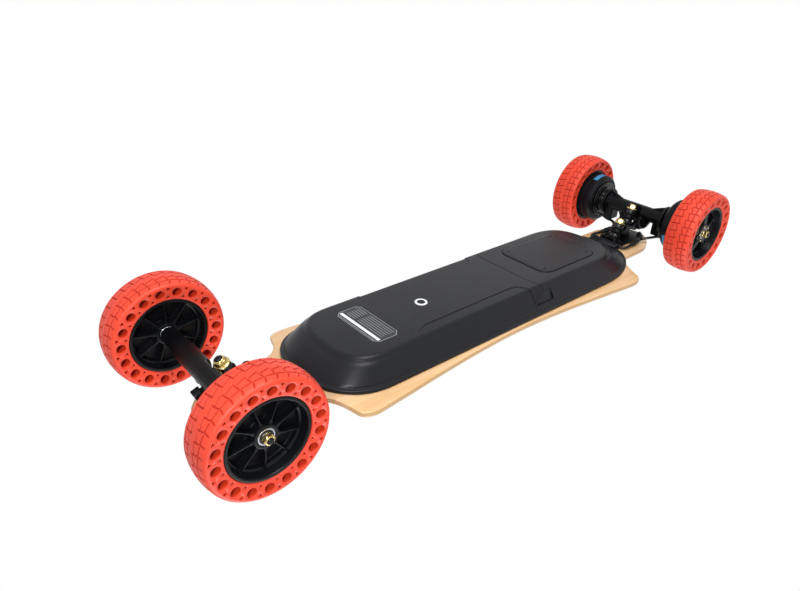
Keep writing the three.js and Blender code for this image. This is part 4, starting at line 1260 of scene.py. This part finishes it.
def rear_rim_form():
    """Nylon rim with five forked spokes over deep pockets."""
    forms = [spun([
        (6.5, 7.6), (11.3, 7.6), (11.3, 14.6), (12.0, 15.0, 0.3), (18.0, 15.0, 1.2), (20.0, 12.0, 1.0),
        (20.4, -8.0, 2.0), (44.0, -8.0, 2.5), (45.8, 6.0, 1.0), (48.0, 9.0, 0.8), (50.0, 20.4, 0.8),
        (51.2, 22.2, 0.8), (54.6, 22.2, 1.0), (55.3, 20.6, 0.4), (55.3, -20.6, 0.4), (54.6, -22.2, 1.0),
        (51.2, -22.2, 0.8), (50.3, -20.0, 0.6), (50.3, -12.0), (6.5, -12.0),
    ], 144, 3)]
    stem = [
        (17, -6.2), (31, -6.4, 5), (49.4, -14.4), (49.4, -7.4), (37.5, 0, 2.2), (49.4, 7.4), (49.4, 14.4),
        (31, 6.4, 5), (17, 6.2),
    ]
    for k in range(5):
        spoke = prism(soften(stem, 5), -9.0, 13.4, 1.1, both=False)
        for vertex in spoke.verts:
            if vertex.co.z > 0:
                vertex.co.z -= 4.0 * max(0.0, (math.hypot(vertex.co.x, vertex.co.y) - 22) / 30)
        forms.append(moved(spoke, about("Z", 2 * math.pi * (k + 0.25) / 5)))
    return merged(*forms)


def bearing_form():
    """Ball bearing: two rings with a seal between them."""
    outer = [(9.4, -3.5), (10.7, -3.5, 0.3), (11.0, -3.2), (11.0, 3.2), (10.7, 3.5, 0.3), (9.4, 3.5)]
    shield = [(6.2, -3.1), (9.5, -3.1), (9.5, 3.1), (8.9, 3.2, 0.2), (6.6, 3.2, 0.2), (6.2, 3.0)]
    inner = [(4.3, -3.5), (6.1, -3.5, 0.2), (6.3, -3.3), (6.3, 3.3), (6.1, 3.5, 0.2), (4.3, 3.5)]
    return merged(spun(outer, 72), paint(spun(shield, 72), 1), spun(inner, 60))


def hex_nut(flats, low, high, bore, chamfer=0.9):
    """Hexagon nut with its corners turned off."""
    corner = flats / math.sqrt(3)
    crown = [(0, low), (flats / 2 + 0.2, low), (corner + 0.05, low + chamfer)]
    crown += [(corner + 0.05, high - chamfer), (flats / 2 + 0.2, high), (0, high)]
    body = combine(prism(circle(corner, 6), low, high), lathe(crown, 72), how="INTERSECT")
    thread = spun([
        (0, low - 1), (bore + 0.8, low - 1), (bore, low + 0.8), (bore, high - 0.8), (bore + 0.8, high + 1),
        (0, high + 1),
    ], 48)
    return combine(body, thread)


class MOUNTAINBOARD_OT_rims(bpy.types.Operator):
    """Build the rims, bearings and axle nuts"""

    bl_idname = "mountainboard.rims"
    bl_label = "Rims and bearings"

    def execute(self, context):
        forms = {"front": front_rim_form(), "rear": rear_rim_form()}
        bearing = bearing_form()
        nut = self.nut_form()
        for end in HEADING:
            for side in SIDES:
                name, body, place = f"{end}_{side}", f"{end}_{side}_wheel", wheel_frame(end, side)
                rested = place @ about("Z", RIB_TURN[side] if end == "front" else 0)
                rim = forms[end].copy()
                piece(f"{name}_rim_moulding", rim, ["rim_nylon"], body, rested, [f"{name}_rim"])
                self.build_bearing(name, "outer", bearing, body, place @ at(0, 0, BEARING_SHIFT))
                if end == "front":
                    self.build_bearing(name, "inner", bearing, body, place @ at(0, 0, -BEARING_SHIFT) @ FLIP)
                else:
                    spots = circle(15.4, 5, turn=0.6)
                    bolts = [moved(screw(1.7, 1.2, 1.0), at(x, y, 14.9)) for x, y in spots]
                    piece(f"{name}_hub_bolts", merged(*bolts), ["zinc_yellow"], body, place)
                body, seat = f"{end}_hanger", place @ at(0, 0, AXLE_NUT_SEAT)
                piece(f"{name}_axle_locknut", nut.copy(), NUT_FINISHES, body, seat, [f"{name}_axle_nut"])
        return {"FINISHED"}

    def build_bearing(self, wheel, where, bearing, body, place):
        finishes = ["bright_steel", "seal_rubber"]
        piece(f"{wheel}_{where}_race", bearing.copy(), finishes, body, place, [f"{wheel}_bearing_{where}"])

    def nut_form(self):
        flange = spun([(4.3, 0), (6.6, 0, 0.2), (6.8, 0.6, 0.3), (6.4, 1.6, 0.3), (4.3, 1.6)], 60)
        body = hex_nut(13, 1.2, 7.0, 4.3)
        collar = spun([(4.6, 6.4), (5.9, 6.4), (5.9, 7.9, 0.6), (5.3, 8.5, 0.5), (4.6, 8.5, 0.2)], 60)
        insert = spun([(4.05, 6.0), (4.9, 6.0), (4.9, 8.2, 0.2), (4.05, 8.2, 0.2)], 48)
        return merged(flange, body, collar, paint(insert, 1))


# Trucks

class MOUNTAINBOARD_OT_trucks(bpy.types.Operator):
    """Build the truck castings, axles, kingpins, nuts and bushings"""

    bl_idname = "mountainboard.trucks"
    bl_label = "Trucks"

    def execute(self, context):
        voxel = context.scene.mountainboard_board.casting_voxel
        for end in HEADING:
            swivel, hanger = f"{end}_swivel", f"{end}_hanger"
            castings = ((f"{end}_base_plate", "board", []), (swivel, swivel, []),
                        (hanger, hanger, self.hanger_ribs(end)))
            for node, body, extras in castings:
                casting = cast_from(node, voxel, extras)
                piece(f"{node}_casting", casting, ["casting_enamel"], body, None, [node], 60)
            self.build_axle(end)
            self.build_stack(end, "base", (0, 0, 0), 4.5, "board", swivel)
            self.build_stack(end, "hanger", (HANGER_SHIFT, 0, -HANGER_DROP), 7, swivel, hanger)
        return {"FINISHED"}

    def hanger_ribs(self, end):
        """Cheeks beside the hanger's eye and, at the rear, webs and clamp flanges with gussets."""
        ribs = []
        for side in (1, -1):
            cheek = prism(soften([
                (36, -52, 3), (58, -52, 4), (62, -36, 6), (55, -21, 6), (40, -16, 5), (34, -24, 4),
            ]), -3.2, 3.2, 1.0)
            for vertex in cheek.verts:
                flare = (vertex.co.y + 52) / 36
                vertex.co.z = vertex.co.z * (1 + 0.5 * flare) - side * (17.6 + 4.2 * flare)
            ribs.append(moved(cheek, steer_frame(end) @ STAND))
            if end == "rear":
                quarter = about("Z", side * math.pi / 2)
                across = truck_frame(end) @ about("X", -side * math.pi / 2)
                flange = spun([
                    (12, 60.5), (17.5, 60.5, 2.0), (20, 64, 2.0), (27.5, 64, 1.0), (28.5, 65, 0.8),
                    (28.5, 70.4, 0.8), (12, 70.8),
                ], 96)
                web = prism(soften([(15, 8), (41, 8), (29, 31, 4), (19, 37, 3)]), -5, 5, 1.0)
                gusset = prism([(13, 30), (27, 65), (12, 65)], -3, 3)
                ribs.append(moved(flange, across))
                ribs.append(moved(web, truck_frame(end) @ quarter @ STAND))
                ribs.append(moved(gusset, across @ quarter @ STAND))
        return ribs

    def build_axle(self, end):
        """Axle threaded at both ends, which stand 2 mm out of its nuts."""
        reach = TRACK[end] / 2 + AXLE_NUT_SEAT + 1.6 + 7 + 2
        half = [(4.0, reach - 12)]
        for k in range(11):
            half += [(3.62, reach - 11.5 + k), (3.98, reach - 11 + k)]
        profile = half[:-1] + [(3.6, reach - 0.5), (3.0, reach), (0, reach)]
        profile += [(r, -h) for r, h in reversed(profile)]
        place = truck_frame(end) @ about("X", -math.pi / 2)
        piece(f"{end}_axle_rod", lathe(profile, 48), ["dark_steel"], f"{end}_hanger", place, [f"{end}_axle"])

    def build_stack(self, end, part, shift, grip, pin_body, eye_body):
        """Kingpin with its washer and nut, and the two bushings that it holds."""
        place = steer_frame(end) @ at(*shift)
        name = f"{end}_{part}"
        tip, head = NUT_LOW - 2, SEAT_TOP + grip - 0.3
        profile = [(0, tip), (4.0, tip), (4.9, tip + 0.9)]
        for k in range(9):
            profile += [(4.9, tip + 1.2 + k), (4.5, tip + 1.7 + k)]
        profile += [(4.9, tip + 10.5), (5.0, tip + 12), (5.0, head), (0, head)]
        piece(f"{name}_pin_rod", lathe(profile, 48), ["dark_steel"], pin_body, place, [f"{name}_kingpin"])

        washer = spun([
            (5.3, NUT_TOP), (5.3, NUT_TOP - 2.6, 0.3), (9.6, NUT_TOP - 2.6, 0.8), (11.5, NUT_TOP - 1.2, 0.6),
            (11.5, NUT_TOP - 0.1, 0.2),
        ], 72)
        hexagon = hex_nut(15, NUT_LOW + 1.6, NUT_TOP - 2.4, 5.2)
        collar = spun([
            (5.4, NUT_LOW + 1.9), (6.7, NUT_LOW + 1.9), (6.7, NUT_LOW + 0.4, 0.7), (5.9, NUT_LOW - 0.2, 0.6),
            (5.4, NUT_LOW),
        ], 60)
        insert = spun([
            (4.7, NUT_LOW + 2.4), (5.8, NUT_LOW + 2.4), (5.8, NUT_LOW - 0.4, 0.4), (4.7, NUT_LOW - 0.4, 0.3),
        ], 48)
        locknut = merged(washer, hexagon, collar, paint(insert, 1))
        piece(f"{name}_pin_locknut", locknut, NUT_FINISHES, pin_body, place, [f"{name}_kingpin_nut"])

        bushings = (("upper", 4.3, (pin_body, eye_body)), ("lower", -15.7, (eye_body, pin_body)))
        for level, low, seats in bushings:
            high = low + 11.4
            bush = spun([
                (5.3, low), (9.8, low, 0.9), (11.1, low + 2.2, 1.0), (11.4, low + 5.7, 2.0),
                (11.1, high - 2.2, 1.0), (9.8, high, 0.9), (5.3, high),
            ], 60)
            node = f"{name}_bushing_{level}"
            made = piece(f"{name}_bush_{level}", bush, ["urethane"], None, place, [node])
            top, bottom = (place @ Vector((0, 0, z)) * MM for z in (high, low))
            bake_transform(made)


# Motors

# Where the middle of each drum's patch stands, in degrees round the axle
PATCH_MIDDLE = {"left": 81, "right": -147}


class MOUNTAINBOARD_OT_motors(bpy.types.Operator):
    """Build the hub motors of the rear wheels"""

    bl_idname = "mountainboard.motors"
    bl_label = "Hub motors"

    def execute(self, context):
        for side in SIDES:
            wheel, place = f"rear_{side}", wheel_frame("rear", side) @ at(0, 0, -TRACK["rear"] / 2)
            drum = spun([
                (39.5, 82.5, 0.4), (44.5, 82.5, 1.6), (47.4, 85.0, 1.6), (49.8, 88.0, 1.2),
                (49.8, 103.0, 0.3), (49.0, 103.6, 0.3), (49.0, 104.6, 0.3), (49.8, 105.2, 0.3),
                (49.8, 117.8, 0.8), (6, 117.8), (6, 114.4), (46.4, 114.4), (46.4, 86.0), (39.5, 86.0, 0.3),
            ], 128, 3)
            rotor = [f"{wheel}_motor_rotor"]
            piece(f"{wheel}_drum", drum, ["motor_drum_satin"], f"{wheel}_wheel", place, rotor)
            cover = spun([
                (12.4, 72), (21.8, 72, 1.2), (23.0, 74.0, 0.8), (23.0, 78.2, 1.2), (25.0, 79.2, 0.6),
                (30.5, 79.4, 0.5), (31.2, 80.4, 0.4), (32.4, 80.4, 0.4), (33.2, 79.6, 0.5),
                (36.8, 80.0, 1.0), (38.0, 81.2, 0.8), (37.5, 82.4), (37.5, 88), (44, 88), (44, 110),
                (12.4, 110),
            ], 128, 3)
            stator = [f"{wheel}_motor_stator"]
            piece(f"{wheel}_stator_cover", cover, ["motor_enamel"], "rear_hanger", place, stator)
            piece(f"{wheel}_drum_patch", self.patch_form(side), ["patch_blue"], f"{wheel}_wheel", place)
        return {"FINISHED"}

    def patch_form(self, side):
        """A bare sticker wrapped on the drum."""
        form = bmesh.new()
        middle, span = math.radians(PATCH_MIDDLE[side]), math.radians(38)
        section = ((49.85, 91.5), (50.0, 91.5), (50.0, 101.5), (49.85, 101.5))
        rows = []
        for k in range(13):
            angle = middle + span * (k / 12 - 0.5)
            rows.append([form.verts.new((r * math.cos(angle), r * math.sin(angle), h)) for r, h in section])
        skin(form, rows)
        form.faces.new(rows[0])
        form.faces.new(rows[-1])
        return form


# Cables

# Routes in metres
CABLE_ROUTES = {
    "left": [
        (-0.3965, 0.024, 0.132), (-0.3965, 0.033, 0.132), (-0.399, 0.038, 0.1316),
        (-0.407, 0.0395, 0.131), (-0.424, 0.037, 0.1306), (-0.440, 0.035, 0.1304),
        (-0.456, 0.0345, 0.130), (-0.470, 0.0355, 0.1284), (-0.481, 0.040, 0.125),
        (-0.487, 0.050, 0.1228), (-0.487, 0.061, 0.122), (-0.4864, 0.069, 0.1194),
        (-0.486, 0.0752, 0.117), (-0.486, 0.0795, 0.117),
    ],
    "right": [
        (-0.3965, -0.024, 0.132), (-0.3965, -0.0335, 0.132), (-0.3995, -0.0395, 0.1316),
        (-0.408, -0.042, 0.131), (-0.424, -0.041, 0.1306), (-0.440, -0.039, 0.1302),
        (-0.454, -0.0385, 0.1296), (-0.466, -0.0415, 0.128), (-0.472, -0.052, 0.1234),
        (-0.4714, -0.064, 0.117), (-0.4703, -0.071, 0.1136), (-0.470, -0.0755, 0.1126),
        (-0.470, -0.0795, 0.1126),
    ],
}
# Route points where a cable leaves the board, passes the swivel and is caught by the hanger
CABLE_CUTS = {"left": (6, 7, 10), "right": (6, 7.5, 9.5)}
CABLE_STEPS = 10
CABLE_RADIUS = 2.8
PLUG_RADIUS = 5.2
PLUG_NECK = 1.9
PLUG_NUT = (5.7, 5.9, 5.9, 5.7)
PLUG_SHARE = 0.42
COVER_MIDDLE = -388
COVER_HALF_WIDTH = 31


class MOUNTAINBOARD_OT_cables(bpy.types.Operator):
    """Build the motor cables, their connectors and the cover they leave"""

    bl_idname = "mountainboard.cables"
    bl_label = "Motor cables"

    def execute(self, context):
        cover = [
            (-16.5, -5.0, 1.2), (-11.5, -9.6, 2.5), (12.0, -9.6, 1.0), (12.0, -6.6), (-0.3, -6.6),
            (-0.3, -0.3), (-16.5, -0.3),
        ]
        form = prism(soften(cover, 4), -COVER_HALF_WIDTH, COVER_HALF_WIDTH, 1.6)
        place = at(COVER_MIDDLE, 0, DECK_UNDER) @ STAND
        piece("cable_cover_moulding", form, ["case_grain"], "board", place, ["cable_cover"])
        for side in SIDES:
            self.build_cable(side)
        return {"FINISHED"}

    def build_cable(self, side):
        """Cable in lengths: the first rides on the board, the last on the hanger, and the two between ride
        on no body.
        """
        route = [p / MM for p in along_route(CABLE_ROUTES[side], CABLE_STEPS)]
        held, handed, caught = (round(cut * CABLE_STEPS) for cut in CABLE_CUTS[side])
        node = f"motor_cable_{side}"
        lengths = (
            ("fixed", route[:held + 1], ("board",)),
            ("end", route[caught:], ("rear_hanger",)),
            ("middle", route[held:handed + 1], ("board", "rear_swivel")),
            ("lead", route[handed:caught + 1], ("rear_swivel", "rear_hanger")),
        )
        for label, points, bodies in lengths:
            body = bodies[0] if len(bodies) == 1 else None
            form = tube(points, CABLE_RADIUS, 20)
            made = piece(f"{node}_{label}", form, ["cable_jacket"], body, None, [node])
            if not body:
                points[0] * MM
                points[-1] * MM
                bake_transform(made)
        middle = int(len(route) * PLUG_SHARE)
        self.build_plug(side, route[middle - 12:middle + 13])

    def build_plug(self, side, points):
        """Connector that swells round the cable, with a ring nut at its middle."""
        radii = []
        for k in range(len(points)):
            t = abs(2 * k / (len(points) - 1) - 1)
            radii.append(PLUG_RADIUS - PLUG_NECK * max(0.0, t - 0.5) / 0.5)
        form = merged(tube(points, radii, 24), tube(points[9:13], PLUG_NUT, 24))
        piece(f"motor_plug_{side}", form, ["cable_jacket"], "board")


class MOUNTAINBOARD_OT_insides(bpy.types.Operator):
    """Finish the battery and the controller inside the case"""

    bl_idname = "mountainboard.insides"
    bl_label = "Insides"

    def execute(self, context):
        dress("battery_pack", "cell_wrap")
        dress("motor_controller", "fin_alloy")
        return {"FINISHED"}


class MOUNTAINBOARD_OT_fasteners(bpy.types.Operator):
    """Build the small bolts that hold the trucks to the deck"""

    bl_idname = "mountainboard.fasteners"
    bl_label = "Deck bolts"

    def execute(self, context):
        plate_low = DECK_UNDER - AXLE_HEIGHT - PLATE_GAP - PLATE_THICKNESS
        tape_top = DECK_UNDER + DECK_THICKNESS + TAPE_GAP + TAPE_THICKNESS - AXLE_HEIGHT
        for end in HEADING:
            nuts, heads = [], []
            for x, y in ((-78, -20), (-78, 20), (-2, -20), (-2, 20)):
                shank = lathe([(0, -6.5), (2.2, -6.5), (2.5, -6.0), (2.5, 3), (0, 3)], 24)
                nuts += [moved(form, at(x, y, plate_low)) for form in (hex_nut(9, -4.2, 0, 2.7, 0.6), shank)]
                heads.append(moved(screw(4.6, 0.9, 3.2, 32), at(x, y, tape_top)))
            piece(f"{end}_deck_nuts", merged(*nuts), ["dark_steel"], "board", truck_frame(end))
            piece(f"{end}_deck_bolts", merged(*heads), ["dark_steel"], "board", truck_frame(end))
        return {"FINISHED"}


# Stage

WHITE = (1, 1, 1, 1)
CAMERA_PLACE = (0.7494, -0.6543, -0.4092)
CAMERA_RIGHT = (-0.7629, -0.6454, -0.0387)
CAMERA_UP = (-0.2870, 0.3917, -0.8742)
PHOTO_LENS = 29.21
SENSOR_WIDTH = 36
# Lamps: (place, target, size, setting that holds the power)
LAMPS = {
    "lamp_under": ((0.2, -0.6, -1.9), (0.0, 0.0, 0.1), 1.1, "key_power"),
    "lamp_over": ((0.4, -0.9, 1.9), (0.0, 0.0, 0.1), 1.4, "fill_power"),
    "lamp_front": ((1.4, -1.25, -0.95), (0.2, 0.0, 0.05), 0.35, "front_power"),
}
FLOOR_LEVEL = -0.0008
FLOOR_REACH = 12
FLOOR_TONE = 0.86
FLOOR_GLOW = 0.2


class MOUNTAINBOARD_OT_stage(bpy.types.Operator):
    """Set up the camera, the lamps, the pale floor and the background"""

    bl_idname = "mountainboard.stage"
    bl_label = "Stage"

    def execute(self, context):
        scene = context.scene
        stage = scene.mountainboard_stage
        scene.view_settings.view_transform = "Standard"
        self.build_camera(scene)
        self.build_world(scene, stage.ambient)
        for name, (place, target, size, setting) in LAMPS.items():
            self.add_lamp(name, place, target, size, getattr(stage, setting))
        self.build_floor()
        return {"FINISHED"}

    def build_camera(self, scene):
        data = bpy.data.cameras.new("photo_camera")
        data.lens, data.sensor_width = PHOTO_LENS, SENSOR_WIDTH
        data.clip_start, data.clip_end = 0.02, 50
        camera = bpy.data.objects.new("photo_camera", data)
        scene.collection.objects.link(camera)
        right, up = Vector(CAMERA_RIGHT).normalized(), Vector(CAMERA_UP).normalized()
        back = right.cross(up).normalized()
        up = back.cross(right)
        turn = Matrix((right, up, back)).transposed().to_4x4()
        camera.matrix_world = at(*CAMERA_PLACE) @ turn
        scene.camera = camera

    def build_world(self, scene, ambient):
        """Even light from all round, with a white backdrop for the camera and for mirrored rays."""
        world = bpy.data.worlds.new("studio")
        world.use_nodes = True
        scene.world = world
        nodes = Nodes(world.node_tree)
        rays = ("Is Glossy Ray", "Is Transmission Ray", "Is Camera Ray")
        glossy, through, camera = (nodes.node("ShaderNodeLightPath", output=ray) for ray in rays)
        seen = camera.math("MAXIMUM", camera, camera.math("MAXIMUM", glossy, through))
        lit, shown = (
            nodes.node("ShaderNodeBackground", {}, {"Color": WHITE, "Strength": strength})
            for strength in (ambient, 1.0)
        )
        mixed = nodes.node("ShaderNodeMixShader", {}, {0: seen, 1: lit, 2: shown})
        world.node_tree.nodes.remove(world.node_tree.nodes["Background"])
        nodes.lead(mixed, world.node_tree.nodes["World Output"], "Surface")

    def add_lamp(self, name, place, target, size, power):
        data = bpy.data.lights.new(name, "AREA")
        data.shape, data.size, data.energy = "DISK", size, power
        lamp = bpy.data.objects.new(name, data)
        bpy.context.scene.collection.objects.link(lamp)
        aim = (Vector(target) - Vector(place)).to_track_quat("-Z", "Y")
        lamp.matrix_world = at(*place) @ aim.to_matrix().to_4x4()
        lamp.visible_camera = False

    def build_floor(self):
        """Pale floor that is seen from above only and keeps the shadow."""
        form = bmesh.new()
        corners = ((-1, -1), (1, -1), (1, 1), (-1, 1))
        form.faces.new([form.verts.new((x * FLOOR_REACH, y * FLOOR_REACH, FLOOR_LEVEL)) for x, y in corners])
        mesh = bpy.data.meshes.new("studio_floor")
        form.to_mesh(mesh)
        form.free()
        floor = bpy.data.objects.new("studio_floor", mesh)
        bpy.context.scene.collection.objects.link(floor)
        finish = Finish("floor_pale", "ring", base_color=(*[FLOOR_TONE] * 3, 1), roughness=0.9)
        path = finish.node("ShaderNodeLightPath", output="Is Camera Ray")
        under = finish.node("ShaderNodeNewGeometry", output="Backfacing")
        finish.feed("Roughness", 0.85 + 0.1 * finish.noise(3, 2))
        finish.shader.inputs["Emission Color"].default_value = WHITE
        finish.shader.inputs["Emission Strength"].default_value = FLOOR_GLOW
        pale = Wire(finish, finish.shader.outputs[0])
        clear = finish.node("ShaderNodeBsdfTransparent")
        mixed = finish.node("ShaderNodeMixShader", {}, {0: path * (1 - under), 1: clear, 2: pale})
        finish.lead(mixed, finish.tree.nodes["Material Output"], "Surface")
        mesh.materials.append(finish.material)


OPERATORS = (
    MOUNTAINBOARD_OT_stage,
    MOUNTAINBOARD_OT_deck,
    MOUNTAINBOARD_OT_case,
    MOUNTAINBOARD_OT_controls,
    MOUNTAINBOARD_OT_tyres,
    MOUNTAINBOARD_OT_rims,
    MOUNTAINBOARD_OT_trucks,
    MOUNTAINBOARD_OT_motors,
    MOUNTAINBOARD_OT_cables,
    MOUNTAINBOARD_OT_insides,
    MOUNTAINBOARD_OT_fasteners,
)
GROUPS = {
    "mountainboard_colours": FinishColours,
    "mountainboard_tyre": TyreSizes,
    "mountainboard_board": BoardSizes,
    "mountainboard_stage": StageSettings,
}


class MOUNTAINBOARD_PT_panel(bpy.types.Panel):
    """Sizes, colours and build steps of the mountainboard"""

    bl_idname = "MOUNTAINBOARD_PT_panel"
    bl_label = "Electric mountainboard"
    bl_space_type = "VIEW_3D"
    bl_region_type = "UI"
    bl_category = "Mountainboard"

    def draw(self, context):
        for key, group in GROUPS.items():
            box = self.layout.box()
            for name in group.__annotations__:
                box.prop(getattr(context.scene, key), name)
        column = self.layout.column(align=True)
        for operator in OPERATORS:
            column.operator(operator.bl_idname)


def register():
    for cls in (*GROUPS.values(), *OPERATORS, MOUNTAINBOARD_PT_panel):
        bpy.utils.register_class(cls)
    for key, group in GROUPS.items():
        setattr(bpy.types.Scene, key, PointerProperty(type=group))


def unregister():
    for key in GROUPS:
        delattr(bpy.types.Scene, key)
    for cls in reversed((*GROUPS.values(), *OPERATORS, MOUNTAINBOARD_PT_panel)):
        bpy.utils.unregister_class(cls)


def main():
    register()
    make_finishes(bpy.context.scene.mountainboard_colours)
    for operator in OPERATORS:
        group, name = operator.bl_idname.split(".")
        getattr(getattr(bpy.ops, group), name)()


if __name__ == "__main__":
    main()
